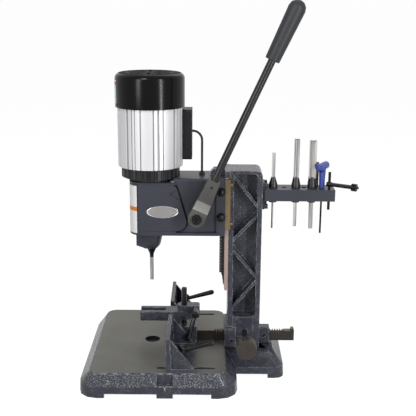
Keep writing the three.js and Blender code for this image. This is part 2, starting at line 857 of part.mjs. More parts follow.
addPart(frameGroup, 'base_casting', baseCasting(), hammerPaint());
addPart(frameGroup, 'column_casting', join(columnCasting(), stopLug()), hammerPaint());
addPart(frameGroup, 'column_way', columnWay(), groundIron());
addPart(frameGroup, 'head_rack', headRack(), blackSteel());
addPart(frameGroup, 'stop_bolt', stopBolt(), blackSteel());
addPart(frameGroup, 'guide_screw_rear', guideScrew(guideScrewPlaces[0]), blackSteel());
addPart(frameGroup, 'guide_screw_front', guideScrew(guideScrewPlaces[1]), blackSteel());
addPart(frameGroup, 'tool_holder', toolHolder(), hammerPaint());

// Head casting: a chuck room at the front, a gear room behind it and the saddle at the back
const motorSeatTopZ = 480;
const motorSeatThickness = 9;
const headFrontTop = 475;
const headNoseRound = 34;
const frontBlockRear = 62;
const motorSeatRadius = 52;
const roomFloor = 362;
const roomTop = 462;
const windowFront = -20;
const windowRear = 40;
const gearRoomFront = 54;
const gearRoomRear = 150;
const gearRoomTop = 474;
const rackChannelWidth = 24;
const shaftBossRadius = 21;
const shaftBossFace = 66;
const bushingWall = 4;
const rimHeight = 7;
const roomGap = 1;
const chuckGap = 3;

function headPlan(rear) {
  const half = headWidth / 2;
  const shape = new THREE.Shape();
  shape.moveTo(rear, half);
  shape.absarc(headNoseRound - headFront, half - headNoseRound, headNoseRound, Math.PI / 2, Math.PI, false);
  shape.absarc(headNoseRound - headFront, headNoseRound - half, headNoseRound, Math.PI, 1.5 * Math.PI, false);
  shape.lineTo(rear, -half);
  shape.closePath();
  return shape;
}

function headCasting() {
  const rearHalf = headRearWidth / 2;
  const saddleHalf = headSaddleWidth / 2;
  const round = 6;
  const frontBlock = planProfile(headPlan(frontBlockRear), headBottom, headFrontTop, 2 * cornerSteps);
  const rearBlock = frontProfile(roundedShape(-rearHalf, rearHalf, headBottom, headTop, round),
    frontBlockRear - round, headRear);
  const saddle = block(headSaddleFront, headRear, -saddleHalf, saddleHalf, headBottom, headTop);
  const rimHalf = headWidth / 2;
  const rim = block(frontBlockRear - round, headSaddleFront + round, -rimHalf, rimHalf, headBottom,
    headBottom + rimHeight);
  const seat = rod(motorSeatRadius, motorSeatThickness, 'z', [0, 0, motorSeatTopZ - motorSeatThickness],
    fineSides);
  const neck = rod(motorSeatRadius - overrun, motorSeatTopZ - headFrontTop + round, 'z',
    [0, 0, headFrontTop - round], roundSides);
  const solid = join(frontBlock, rearBlock, saddle, rim, seat, neck, chiselBoss(), ...shaftBosses());
  const bellRoom = rod(endBellRadius + roomGap, headTop - motorSeatTopZ + overrun, 'z',
    [0, 0, motorSeatTopZ], fineSides);
  return cut(solid, bellRoom, doorRebate(), ...headRooms(), ...headBores());
}

// The chisel boss: round below the head, with a lobe at the front that carries the chisel's set screw
function chiselBoss() {
  const lobeToe = 8;
  const bossWaistRise = 12;
  const inside = headBottom + bite;
  const chamfer = 3;
  const taper = 5;
  const swell = 2;
  const low = noseBottom + lobeToe;
  const waist = low + bossWaistRise;
  const round = turned([[0, noseBottom], [noseRadius, noseBottom],
    [noseRadius + chamfer, noseBottom + chamfer], [bossRadius - taper, low], [bossRadius - swell, waist],
    [bossRadius, headBottom - bossLength], [bossRadius, inside], [0, inside]]);
  const half = bossRadius * 0.62;
  const lobe = polygon([[-lobeReach, lobeBottom + edgeBreak], [edgeBreak - lobeReach, lobeBottom],
    [-noseRadius - lobeToe, lobeBottom - lobeToe / 2], [-noseRadius, noseBottom + edgeBreak],
    [0, noseBottom + edgeBreak], [0, inside], [-lobeReach, inside]]);
  return join(round, sideProfile(lobe, -half, half));
}

// Bosses around the feed shaft on both sides of the head
function shaftBosses() {
  const near = shaftBossFace - headRearWidth / 2;
  const far = 10;
  return [
    rod(shaftBossRadius, near + bite, 'y', [hubX, -shaftBossFace, hubZ]),
    rod(shaftBossRadius, far + bite, 'y', [hubX, headRearWidth / 2 - bite, hubZ]),
  ];
}

function doorRebate() {
  const outer = headWidth / 2;
  return block(doorFront - seatGap, frontBlockRear + overrun, -outer - overrun, -headRearWidth / 2,
    doorBottom - seatGap, doorTop + seatGap);
}

function headRooms() {
  const inner = headRearWidth / 2 - headWall;
  const room = planProfile(roundedShape(headWall - headFront, chamberRear, -inner, inner, headNoseRound / 2),
    roomFloor, roomTop);
  const sill = 4;
  const lintel = 2;
  const doorway = block(windowFront, windowRear, -headWidth / 2 - overrun, headWall - inner, roomFloor + sill,
    roomTop - lintel);
  const gearRoom = block(gearRoomFront, gearRoomRear, -inner, inner, headBottom - overrun, gearRoomTop);
  const channelHalf = rackChannelWidth / 2;
  const gearSlot = block(gearRoomRear - overrun, headRear + overrun, -channelHalf, channelHalf,
    headBottom - overrun, gearRoomTop - headWall);
  const rackSlot = block(wayFront - headRackThickness - overrun, headRear + overrun, -channelHalf,
    channelHalf, headBottom - overrun, headTop + overrun);
  return [room, doorway, gearRoom, gearSlot, rackSlot];
}

function headBores() {
  const inner = headRearWidth / 2 - headWall;
  const bushing = feedShaftRadius + bushingWall + seatGap;
  return [
    rod(bushingRadius + seatGap, roomFloor - noseBottom + 2 * overrun, 'z', [0, 0, noseBottom - overrun]),
    rod(chuckRadius + chuckGap, motorSeatTopZ - roomTop + 2 * overrun, 'z', [0, 0, roomTop - overrun]),
    rod(bushing, 2 * shaftBossFace + 2 * overrun, 'y', [hubX, -shaftBossFace - overrun, hubZ]),
    rod(chiselScrewRadius + seatGap, lobeReach, 'x', [bite - bushingRadius - lobeReach, 0, chiselScrewZ],
      smallSides),
    rod(glandRadius + seatGap, headWall + 2 * overrun, 'z', [leadEndX, 0, headTop - headWall - overrun],
      smallSides),
    rod(hingePinRadius + seatGap, doorTop - doorBottom + 2 * hingePinEnd + seatGap, 'z',
      [hingeX, hingeY, doorBottom - hingePinEnd], smallSides),
    ...gibPlaces().map((z) => rod(gibScrewRadius + seatGap, gibScrewLength, 'y',
      [gibX, -headSaddleWidth / 2 - overrun, z])),
    rod(doorHeelRadius, doorTop - doorBottom + 2 * seatGap, 'z', [hingeX, hingeY, doorBottom - seatGap]),
  ];
}

const chiselScrewRadius = 4;
const chiselScrewZ = 330;
const glandRadius = 6;
const leadEndX = 122.9;
const hingePinRadius = 2.5;
const hingePinEnd = 4;
const hingeX = -20;
const doorHeelRadius = 9.3;
const hingeY = -53.5;
const gibInset = 9;
const gibX = wayFront - gibInset;
const gibScrewRadius = 5;
const gibScrewLength = 14;
const gibHeadRadius = 10;

function gibPlaces() {
  const pitch = 61;
  const drop = 30;
  const upper = headTop - drop;
  return [upper, upper - pitch];
}

// Domed screws that set the running clearance of the slide
function gibScrew(z) {
  const face = headSaddleWidth / 2 + seatGap;
  const dome = [];
  const flat = 4;
  for (let i = 0; i <= cornerSteps; i++) {
    const angle = i / cornerSteps * Math.PI / 2;
    dome.push([gibHeadRadius * Math.sin(angle), -flat - gibHeadRadius * 0.8 * Math.cos(angle)]);
  }
  const length = gibScrewLength - 2 * overrun;
  const profile = [...dome, [gibHeadRadius, 0], [gibScrewRadius, 0], [gibScrewRadius, length], [0, length]];
  return turned(profile, 'y', [gibX, -face, z], roundSides);
}

// Keeper: an angle strip that hooks behind the edge of the way, with its two screws
function keeper(side) {
  const outer = headSaddleWidth / 2;
  const inner = wayWidth / 2 + slideClearance;
  const lipInner = columnWidth / 2 + slideClearance;
  const front = wayFront;
  const lipFront = wayRear + slideClearance;
  const rear = lipFront + keeperLip;
  const shape = polygon([[lipFront, lipInner * side], [rear, lipInner * side], [rear, outer * side],
    [front, outer * side], [front, inner * side], [lipFront, inner * side]]);
  const screwRadius = 3;
  const screwHead = screwRadius * 1.7;
  const screwY = side * (outer - screwHead - seatGap);
  const screwInset = 13.5;
  const screws = [keeperTop - screwInset, keeperBottom + screwInset].map((z) => (
    capScrew(screwRadius, keeperLip, '-x', [rear, screwY, z])));
  return join(planProfile(shape, keeperBottom, keeperTop), ...screws);
}

addPart(headGroup, 'head_casting', headCasting(), headPaint());
addPart(headGroup, 'keeper_near', keeper(-1), bronze());
addPart(headGroup, 'keeper_far', keeper(1), bronze());
addPart(headGroup, 'gib_screw_upper', gibScrew(gibPlaces()[0]), blackSteel());
addPart(headGroup, 'gib_screw_lower', gibScrew(gibPlaces()[1]), blackSteel());

// Plain bushes that carry the feed shaft in the two walls of the head
function shaftBushing(y0, y1) {
  return ringOf(feedShaftRadius + bushingWall, feedShaftRadius + seatGap, y1 - y0, 'y', [hubX, y0, hubZ]);
}

const bushInner = headRearWidth / 2 - headWall;
const bushSunk = 2;
const bushProud = 8;
addPart(headGroup, 'shaft_bush_near', shaftBushing(bushSunk - shaftBossFace, -bushInner), bronze());
addPart(headGroup, 'shaft_bush_far', shaftBushing(bushInner, headRearWidth / 2 + bushProud), bronze());

// Door over the chuck room: a thick cast cover with a pull notch, hinged at its front edge
function chuckDoor() {
  const outer = headWidth / 2;
  const inner = headRearWidth / 2 + seatGap;
  const corner = 12;
  const ease = 2;
  const shape = new THREE.Shape();
  shape.moveTo(doorFront, doorBottom);
  shape.lineTo(doorRear - 2 * corner, doorBottom);
  shape.quadraticCurveTo(doorRear - ease, doorBottom, doorRear, doorBottom + 2 * corner);
  shape.lineTo(doorTopRear + ease, doorTop - corner);
  shape.quadraticCurveTo(doorTopRear, doorTop, doorTopRear - corner, doorTop);
  shape.lineTo(doorFront, doorTop);
  shape.closePath();
  const leaf = sideProfile(shape, -outer, -inner);
  const plan = planProfile(headPlan(doorRear + overrun), doorBottom - overrun, doorTop + overrun,
    2 * cornerSteps);
  const notchDepth = 3;
  const notchInset = 16;
  const notchDrop = 22;
  const notchX = doorTopRear - notchInset;
  const notchZ = doorTop - notchDrop;
  const notch = sideProfile(polygon([[notchX, notchZ], [doorRear, notchZ - doorThickness * 3.5],
    [doorTopRear + overrun, notchZ + doorThickness * 1.9]]), -outer - overrun, notchDepth - outer);
  const pinBore = rod(hingePinRadius + seatGap, doorTop - doorBottom + 2 * overrun, 'z',
    [hingeX, hingeY, doorBottom - overrun], smallSides);
  return cut(leaf.intersect(plan), notch, pinBore);
}

function hingePin() {
  const length = doorTop - doorBottom + 2 * hingePinEnd - seatGap;
  return rod(hingePinRadius, length, 'z', [hingeX, hingeY, doorBottom - hingePinEnd + seatGap], smallSides);
}

addPart(headGroup, 'chuck_door', chuckDoor(), headPaint());
addPart(headGroup, 'door_hinge_pin', hingePin(), brightSteel());

// Motor: fluted aluminium body, ribbed end bell, stator, fan cover and capacitor box
function endBell() {
  const ribs = 26;
  const ribHeight = 3;
  const bottom = motorSeatTopZ + seatGap;
  const outline = flutedShape(endBellRadius, endBellRadius - ribHeight, ribs, 0.5);
  const bellBottom = rod(endBellRadius - 2 * ribHeight, ribHeight, 'z', [0, 0, bottom], fineSides);
  const body = join(planProfile(outline, bottom + ribHeight - bite, motorBottom), bellBottom);
  const bore = rod(bearingRadius + seatGap, motorBottom, 'z', [0, 0, bottom - overrun]);
  const recess = rod(recessRadius, motorBottom - bottom, 'z', [0, 0, bottom + bearingLength + bite]);
  return cut(body, bore, recess);
}

const bearingRadius = 18;
const bearingLength = 12;
const recessRadius = 56;
const statorInner = 43;
const rotorRadius = 42;
const rotorRise = 25;
const rotorDrop = 33;
const rotorBottom = motorBottom + rotorRise;
const rotorTop = motorTop - rotorDrop;
const shaftBottom = 448;
const shaftProud = 47;
const shaftTop = motorTop + shaftProud;
const fluteDepth = 3;

// The body is drawn with lands of uneven width; they repeat in every quarter, in degrees from the near side
const landAngles = [[-37.3, -30.8], [-28.8, -24.5], [-23.1, -14.3], [-12, 8.2], [10.4, 16.2], [19.7, 25.8],
  [27.5, 48.3]];

function landedShape(outer, inner) {
  const grooveSlope = 0.3;
  const landStep = 7;
  const points = [];
  const addPoint = (radius, degrees) => {
    const angle = THREE.MathUtils.degToRad(degrees);
    points.push([radius * Math.sin(angle), -radius * Math.cos(angle)]);
  };
  for (const quarterTurn of [0, 90, 180, 270]) {
    for (const [start, end] of landAngles) {
      const steps = Math.ceil((end - start) / landStep);
      addPoint(inner, quarterTurn + start - grooveSlope);
      for (let i = 0; i <= steps; i++) addPoint(outer, quarterTurn + start + (end - start) * i / steps);
      addPoint(inner, quarterTurn + end + grooveSlope);
    }
  }
  return polygon(points);
}

function motorBody() {
  const topPlate = 8;
  const outline = landedShape(motorRadius, motorRadius - fluteDepth);
  const body = planProfile(outline, motorBottom + seatGap, motorTop);
  const room = rod(motorRadius - motorWall - fluteDepth, motorTop - motorBottom - topPlate + overrun, 'z',
    [0, 0, motorBottom + seatGap - overrun], roundSides);
  const bore = rod(bearingRadius + seatGap, 2 * topPlate, 'z', [0, 0, motorTop - topPlate - overrun]);
  return cut(body, room, bore);
}

function motorStator() {
  const outer = motorRadius - motorWall - fluteDepth - seatGap;
  return ringOf(outer, statorInner, rotorTop - rotorBottom, 'z', [0, 0, rotorBottom]);
}

function bearing(z) {
  return ringOf(bearingRadius, spindleRadius + seatGap, bearingLength, 'z', [0, 0, z]);
}

function motorShaft() {
  return turned([[0, shaftBottom], [spindleRadius, shaftBottom], [spindleRadius, rotorBottom],
    [rotorRadius, rotorBottom], [rotorRadius, rotorTop], [spindleRadius, rotorTop], [spindleRadius, shaftTop],
    [0, shaftTop]]);
}

const fanRise = 10;
const fanBottom = motorTop + fanRise;
const fanHeight = 30;
const fanRadius = 66;

function coolingFan() {
  const blades = 8;
  const bladeThickness = 3;
  const plate = 4;
  const hub = 15;
  const disc = rod(fanRadius, plate, 'z', [0, 0, fanBottom]);
  const boss = rod(hub, fanHeight, 'z', [0, 0, fanBottom]);
  const rootOverlap = 2;
  const vanes = [];
  for (let i = 0; i < blades; i++) {
    const blade = new THREE.BoxGeometry(fanRadius - hub, bladeThickness, fanHeight - edgeBreak);
    blade.translate((fanRadius + hub) / 2 - rootOverlap, 0, fanBottom + fanHeight / 2);
    blade.rotateZ(i * 2 * Math.PI / blades);
    vanes.push(solidOf(blade));
  }
  const bore = rod(spindleRadius + seatGap, fanHeight + 2 * overrun, 'z', [0, 0, fanBottom - overrun]);
  return cut(join(disc, boss, ...vanes), bore);
}

// The cover is drawn from sheet, with a rounded shoulder, a pressed ring and air slots on top
function fanCover() {
  const wall = 3.5;
  const round = 14;
  const bottom = motorTop + seatGap;
  const arc = (radius) => {
    const points = [];
    for (let i = 0; i <= cornerSteps; i++) {
      const angle = i / cornerSteps * Math.PI / 2;
      const [out, rise] = [radius * Math.cos(angle), radius * Math.sin(angle)];
      points.push([coverRadius - round + out, coverTop - round + rise]);
    }
    return points;
  };
  const ringInner = coverRadius * 0.62;
  const ringWidth = 5;
  const ringDepth = 1.6;
  const lipInner = fanRadius + overrun;
  const ringOuter = ringInner + ringWidth;
  const ringFloor = coverTop - ringDepth;
  const profile = [[coverRadius, bottom], ...arc(round), [ringOuter, coverTop],
    [ringOuter - edgeBreak, ringFloor], [ringInner + edgeBreak, ringFloor], [ringInner, coverTop],
    [0, coverTop], [0, coverTop - wall], ...arc(round - wall).reverse(), [coverRadius - wall, bottom + wall],
    [lipInner, bottom + wall], [lipInner, bottom], [coverRadius, bottom]];
  const shell = turned(profile, 'z', [0, 0, 0], fineSides);
  const slots = [];
  const count = 10;
  const slotLength = ringInner * 0.55;
  const slotHalf = 3;
  for (let i = 0; i < count; i++) {
    const slot = new THREE.BoxGeometry(slotLength, 2 * slotHalf, 4 * wall);
    slot.translate(ringInner - slotLength / 2 - wall, 0, coverTop);
    slot.rotateZ((i + 0.5) * 2 * Math.PI / count);
    slots.push(solidOf(slot));
  }
  return cut(shell, ...slots);
}

function capacitorBox() {
  const corner = 6;
  const shape = roundedShape(boxNear, boxNear + boxWidth, boxBottom, boxTop, corner);
  const box = frontProfile(shape, motorRadius - boxDepth, motorRadius + boxDepth);
  const body = rod(motorRadius + 2 * seatGap, boxTop - boxBottom + 2 * overrun, 'z',
    [0, 0, boxBottom - overrun], fineSides);
  return cut(box, body);
}

// Motor lead: leaves the box to the rear, turns a quarter of a circle and drops into its gland
const leadDrop = 51;
const leadExitZ = boxTop - leadDrop;
const leadBend = 22.4;
const glandHeight = 9;

function leadRoute() {
  const exit = motorRadius + boxDepth + seatGap;
  const straight = leadEndX - leadBend - exit;
  const points = [[exit, leadExitZ]];
  const steps = 2 * cornerSteps;
  for (let i = 0; i <= steps; i++) {
    const angle = i / steps * Math.PI / 2;
    const [along, down] = [leadBend * Math.sin(angle), leadBend * (1 - Math.cos(angle))];
    points.push([exit + straight + along, leadExitZ - down]);
  }
  points.push([leadEndX, headTop + glandHeight + seatGap]);
  return points;
}

// Each station of the route is a ring square to the lead
function motorLead() {
  const route = leadRoute();
  const rings = route.map(([x, z], i) => {
    const [x0, z0] = route[Math.max(i - 1, 0)];
    const [x1, z1] = route[Math.min(i + 1, route.length - 1)];
    const reach = Math.hypot(x1 - x0, z1 - z0);
    const [ax, az] = i === 0 ? [1, 0] : [(x1 - x0) / reach, (z1 - z0) / reach];
    const ring = [];
    for (let k = 0; k < smallSides; k++) {
      const angle = 2 * Math.PI * k / smallSides;
      const [u, v] = [leadRadius * Math.cos(angle), leadRadius * Math.sin(angle)];
      ring.push(new THREE.Vector3(x - u * az, v, z + u * ax));
    }
    return ring;
  });
  return pipe(rings);
}

function cableGland() {
  const flange = headWall + seatGap;
  const lip = headWall + glandHeight / 2;
  const top = headWall + glandHeight;
  const outer = glandRadius + edgeBreak;
  return turned([[0, 0], [glandRadius, 0], [glandRadius, headWall], [outer, flange], [outer, lip],
    [leadRadius + edgeBreak, top], [0, top]], 'z', [leadEndX, 0, headTop - headWall], smallSides);
}

addPart(headGroup, 'motor_end_bell', endBell(), blackPaint());
addPart(headGroup, 'motor_body', motorBody(), castAluminium());
addPart(headGroup, 'motor_stator', motorStator(), copper());
addPart(headGroup, 'motor_fan_cover', fanCover(), blackPaint());
addPart(headGroup, 'bearing_lower', bearing(motorSeatTopZ + roomGap), brightSteel());
addPart(headGroup, 'bearing_upper', bearing(motorTop - bearingLength), brightSteel());
addPart(headGroup, 'capacitor_box', capacitorBox(), blackPaint());
addPart(headGroup, 'motor_lead', motorLead(), blackRubber());
addPart(headGroup, 'cable_gland', cableGland(), blackRubber());
addPart(headGroup, 'motor_shaft', motorShaft(), brightSteel());
addPart(headGroup, 'cooling_fan', coolingFan(), blackRubber());

// Keyed drill chuck on the end of the motor shaft
function drillChuck() {
  const bottom = chuckTop - chuckLength;
  const jawLength = 13;
  const teeth = 14;
  const ringHeight = 9;
  const ringProud = 2.5;
  const jawWall = 2;
  const jawInset = 9;
  const shoulderHeight = 12;
  const shoulderInset = 4;
  const body = turned([[0, bottom - jawLength], [augerShank + jawWall, bottom - jawLength],
    [chuckRadius - jawInset, bottom], [chuckRadius, bottom], [chuckRadius, chuckTop - shoulderHeight],
    [chuckRadius - shoulderInset, chuckTop], [0, chuckTop]]);
  const ring = planProfile(flutedShape(chuckRadius + ringProud, chuckRadius - bite, teeth, 0.45), bottom,
    bottom + ringHeight);
  const bore = rod(augerShank + seatGap, jawLength * 3, 'z', [0, 0, bottom - jawLength - overrun],
    smallSides);
  const seat = rod(spindleRadius + seatGap, overrun * 3, 'z', [0, 0, chuckTop - overrun * 2]);
  return cut(join(body, ring), bore, seat);
}

const augerShank = 3;
const augerProud = 2;
const augerTip = chiselTip - augerProud;
const augerFluteTop = 270;

// Auger bit: a twisted flute below and a plain shank above
function augerBit() {
  const pitch = 14;
  const steps = 10;
  const count = Math.round((augerFluteTop - augerTip) / pitch * steps);
  const sides = 4;
  const up = new THREE.Vector3(0, 0, 1);
  const rings = [];
  for (let level = 0; level <= count; level++) {
    const z = augerTip + (augerFluteTop - augerTip) * level / count;
    const turn = 2 * Math.PI * level / steps;
    const ring = [];
    for (let i = 0; i < sides; i++) {
      const angle = 2 * Math.PI * i / sides;
      const point = new THREE.Vector3(augerRadius * Math.cos(angle), augerRadius * 0.6 * Math.sin(angle), z);
      ring.push(point.applyAxisAngle(up, turn));
    }
    rings.push(ring);
  }
  const grip = 20;
  const overlap = 4;
  const shankStart = augerFluteTop - overlap;
  const shankTop = chuckTop - chuckLength + grip;
  const shank = rod(augerShank, shankTop - shankStart, 'z', [0, 0, shankStart], smallSides);
  return join(loft(rings), shank);
}

// Chisel: square hollow blade with a chip window, a tapered shoulder and a round shank
function hollowChisel(side, bladeLength, shoulderLength, shankLength, boreRadius) {
  const half = side / 2;
  const blade = block(-half, half, -half, half, -bladeLength, bite);
  const collarProud = 2.5;
  const collar = chiselShankRadius + collarProud;
  const neck = turned([[0, -bite], [half, -bite], [half + edgeBreak, shoulderLength * 0.4],
    [collar, shoulderLength - edgeBreak], [collar, shoulderLength], [0, shoulderLength]]);
  const shank = rod(chiselShankRadius, shankLength, 'z', [0, 0, shoulderLength - bite]);
  const bore = rod(boreRadius, bladeLength + shoulderLength + shankLength + 2 * overrun, 'z',
    [0, 0, -bladeLength - overrun], smallSides);
  const rim = half * 1.45;
  const grind = turned([[0, half * 1.1], [rim, -seatGap], [rim, -overrun], [0, -overrun]], 'z',
    [0, 0, -bladeLength], smallSides);
  const windowHalf = half * 0.45;
  const chipWindow = block(0, half + overrun, -windowHalf, windowHalf, -bladeLength * 0.72,
    -bladeLength * 0.2);
  return cut(join(blade, neck, shank), bore, grind, chipWindow);
}

function chiselBushing() {
  const short = 4;
  const sleeve = ringOf(bushingRadius, chiselShankRadius + seatGap, roomFloor - noseBottom - short, 'z',
    [0, 0, noseBottom + edgeBreak]);
  const bore = rod(chiselScrewRadius + seatGap, bushingRadius, 'x',
    [bite - bushingRadius - chiselShankRadius, 0, chiselScrewZ], smallSides);
  return cut(sleeve, bore);
}

// Socket set screw in the lobe of the boss, which holds the chisel's shank
function chiselScrew() {
  const tip = chiselShankRadius + seatGap;
  const sunk = 2;
  const length = lobeReach - sunk - tip;
  const socket = chiselScrewRadius / 2;
  const socketEnd = length - chiselScrewRadius;
  return turned([[0, 0], [chiselScrewRadius, 0], [chiselScrewRadius, length], [socket, length],
    [socket, socketEnd], [0, socketEnd]], '-x', [-tip, 0, chiselScrewZ], smallSides);
}

const chiselShankLength = 48;
const chiselBoreGap = 0.5;
const chiselMesh = addPart(headGroup, 'hollow_chisel', hollowChisel(chiselSide, chiselShoulder - chiselTip,
  noseBottom - chiselShoulder, chiselShankLength, augerShank + chiselBoreGap), brightSteel());
chiselMesh.position.set(0, 0, chiselShoulder);
addPart(headGroup, 'chisel_bushing', chiselBushing(), brightSteel());
addPart(headGroup, 'chisel_set_screw', chiselScrew(), blackSteel());
addPart(headGroup, 'drill_chuck', drillChuck(), blackSteel());
addPart(headGroup, 'auger_bit', augerBit(), brightSteel());

// Switch on the far side of the head: a box with a paddle that is pressed to stop
const switchDepth = 20;
const switchX = [-16, 44];
const switchZ = [380, 450];
const paddleThickness = 5;
const paddleKnuckleRadius = 3;
const paddleHingeY = headWidth / 2 + switchDepth + seatGap + paddleKnuckleRadius;

function switchBox() {
  const corner = 5;
  const outer = headWidth / 2;
  const shape = roundedShape(switchX[0], switchX[1], switchZ[0], switchZ[1], corner);
  const box = sideProfile(shape, outer + seatGap, outer + switchDepth);
  const nut = glandHeight / 3;
  const gland = turned([[0, 0], [glandRadius, 0], [glandRadius, nut], [leadRadius + edgeBreak, glandHeight],
    [0, glandHeight]], '-z', [(switchX[0] + switchX[1]) / 2, outer + switchDepth / 2, switchZ[0] + bite],
    smallSides);
  return join(box, gland);
}

// The paddle swings on a knuckle along its top edge, clear of the box by its travel
function switchPaddle() {
  const corner = 4;
  const inset = 7;
  const [left, right] = [switchX[0] + inset, switchX[1] - inset];
  const top = switchZ[1] - inset;
  const shape = roundedShape(left, right, switchZ[0] + inset, top, corner);
  const plate = sideProfile(shape, paddleHingeY, paddleHingeY + paddleThickness);
  const knuckle = rod(paddleKnuckleRadius, right - left - 2 * corner, 'x', [left + corner, paddleHingeY,
    top - paddleKnuckleRadius], smallSides);
  return join(plate, knuckle);
}

addPart(headGroup, 'switch_box', switchBox(), blackPaint());
addPart(headGroup, 'switch_paddle', switchPaddle(), redPlastic());

const armFloor = 4;

// Feed shaft with its sector gear, and the handle that turns it
function feedShaft() {
  const nearEnd = handleY - handleArmThickness / 2 + armFloor;
  const farProud = 12;
  const farEnd = headRearWidth / 2 + farProud;
  const collar = 4;
  const collarStart = handleY + handleArmThickness / 2 + seatGap;
  return join(
    rod(feedShaftRadius, farEnd - nearEnd, 'y', [hubX, nearEnd, hubZ]),
    rod(feedShaftRadius + collar, -shaftBossFace - seatGap - collarStart, 'y', [hubX, collarStart, hubZ]));
}

function feedGear() {
  const hub = 18;
  const hubReach = 26;
  const sweepShare = 0.34;
  const below = Math.ceil(sweepShare * feedTeeth);
  const outline = toothedShape(feedModule, feedTeeth, -below, 1, hub);
  const wheel = sideProfile(outline, -feedWidth / 2, feedWidth / 2);
  const boss = rod(hub, hubReach, 'y', [0, -hubReach / 2, 0]);
  const bore = rod(feedShaftRadius + seatGap, hubReach + 2 * overrun, 'y', [0, -hubReach / 2 - overrun, 0]);
  return cut(join(wheel, boss), bore);
}

const gearMesh = addPart(headGroup, 'feed_gear', feedGear(), blackSteel());
gearMesh.position.set(hubX, 0, hubZ);
addPart(headGroup, 'feed_shaft', feedShaft(), brightSteel());

const handleGroup = new THREE.Group();
handleGroup.position.set(hubX, handleY, hubZ);
handleGroup.rotation.y = handleLean;
headGroup.add(handleGroup);
const rodStart = 60;
const rodShort = 10;
const rodEnd = gripStart + gripLength - rodShort;

function handleArm() {
  const half = handleArmThickness / 2;
  const top = handleArmTopWidth / 2;
  const outline = new THREE.Shape();
  const spread = 0.18;
  outline.absarc(0, 0, handleHubRadius, Math.PI - spread, 2 * Math.PI + spread, false);
  outline.lineTo(top, handleArmLength);
  outline.lineTo(-top, handleArmLength);
  outline.closePath();
  const body = extruded(outline, 2 * half, 2 * cornerSteps);
  body.rotateX(Math.PI / 2);
  const solid = solidOf(body.translate(0, half, 0));
  const shaftBore = rod(feedShaftRadius + seatGap, 2 * half, 'y', [0, armFloor - half, 0]);
  const screwBore = rod(hubScrewRadius + seatGap, 2 * half, 'y', [0, -half - overrun, 0]);
  const rodBore = rod(handleRodRadius + seatGap, handleArmLength, 'z', [0, 0, rodStart - bite]);
  const setRadius = 3;
  const setInset = 16;
  const setBore = rod(setRadius, half, 'y', [0, -half - overrun, handleArmLength - setInset], smallSides);
  return cut(solid, shaftBore, screwBore, rodBore, setBore);
}

const hubScrewRadius = 4;
const hubScrewHead = 11.5;

function hubScrew() {
  const half = handleArmThickness / 2 + seatGap;
  const headLength = 7;
  const socket = 5;
  const depth = 3;
  const profile = [[0, -headLength / 2], [socket, -headLength / 2], [socket, -headLength],
    [hubScrewHead - edgeBreak, -headLength], [hubScrewHead, edgeBreak - headLength], [hubScrewHead, 0],
    [hubScrewRadius, 0], [hubScrewRadius, depth], [0, depth]];
  return turned(profile, 'y', [0, -half, 0], roundSides);
}

function handleGrip() {
  const start = gripRadius * 0.85;
  const dome = [];
  for (let i = 0; i <= cornerSteps; i++) {
    const angle = i / cornerSteps * Math.PI / 2;
    dome.push([gripRadius * Math.cos(angle), gripLength - gripRadius + gripRadius * Math.sin(angle)]);
  }
  const endWall = 8;
  const depth = gripLength - endWall;
  const bore = handleRodRadius + seatGap;
  return turned([[0, depth], [bore, depth], [bore, 0], [start - edgeBreak, 0], [start, 2 * edgeBreak],
    ...dome]);
}

addPart(handleGroup, 'handle_arm', handleArm(), headPaint());
addPart(handleGroup, 'handle_hub_screw', hubScrew(), blackSteel());
addPart(handleGroup, 'handle_rod', rod(handleRodRadius, rodEnd - rodStart, 'z', [0, 0, rodStart]),
  blackSteel());
addPart(handleGroup, 'handle_grip', handleGrip(), blackRubber()).position.set(0, 0, gripStart);

// Fence: an upright plate on a foot flange, braced by gussets, with a boss for the post and the rack bar
const fenceFoot = tableHeight + seatGap;
const fenceRear = fenceFront + fenceThickness;

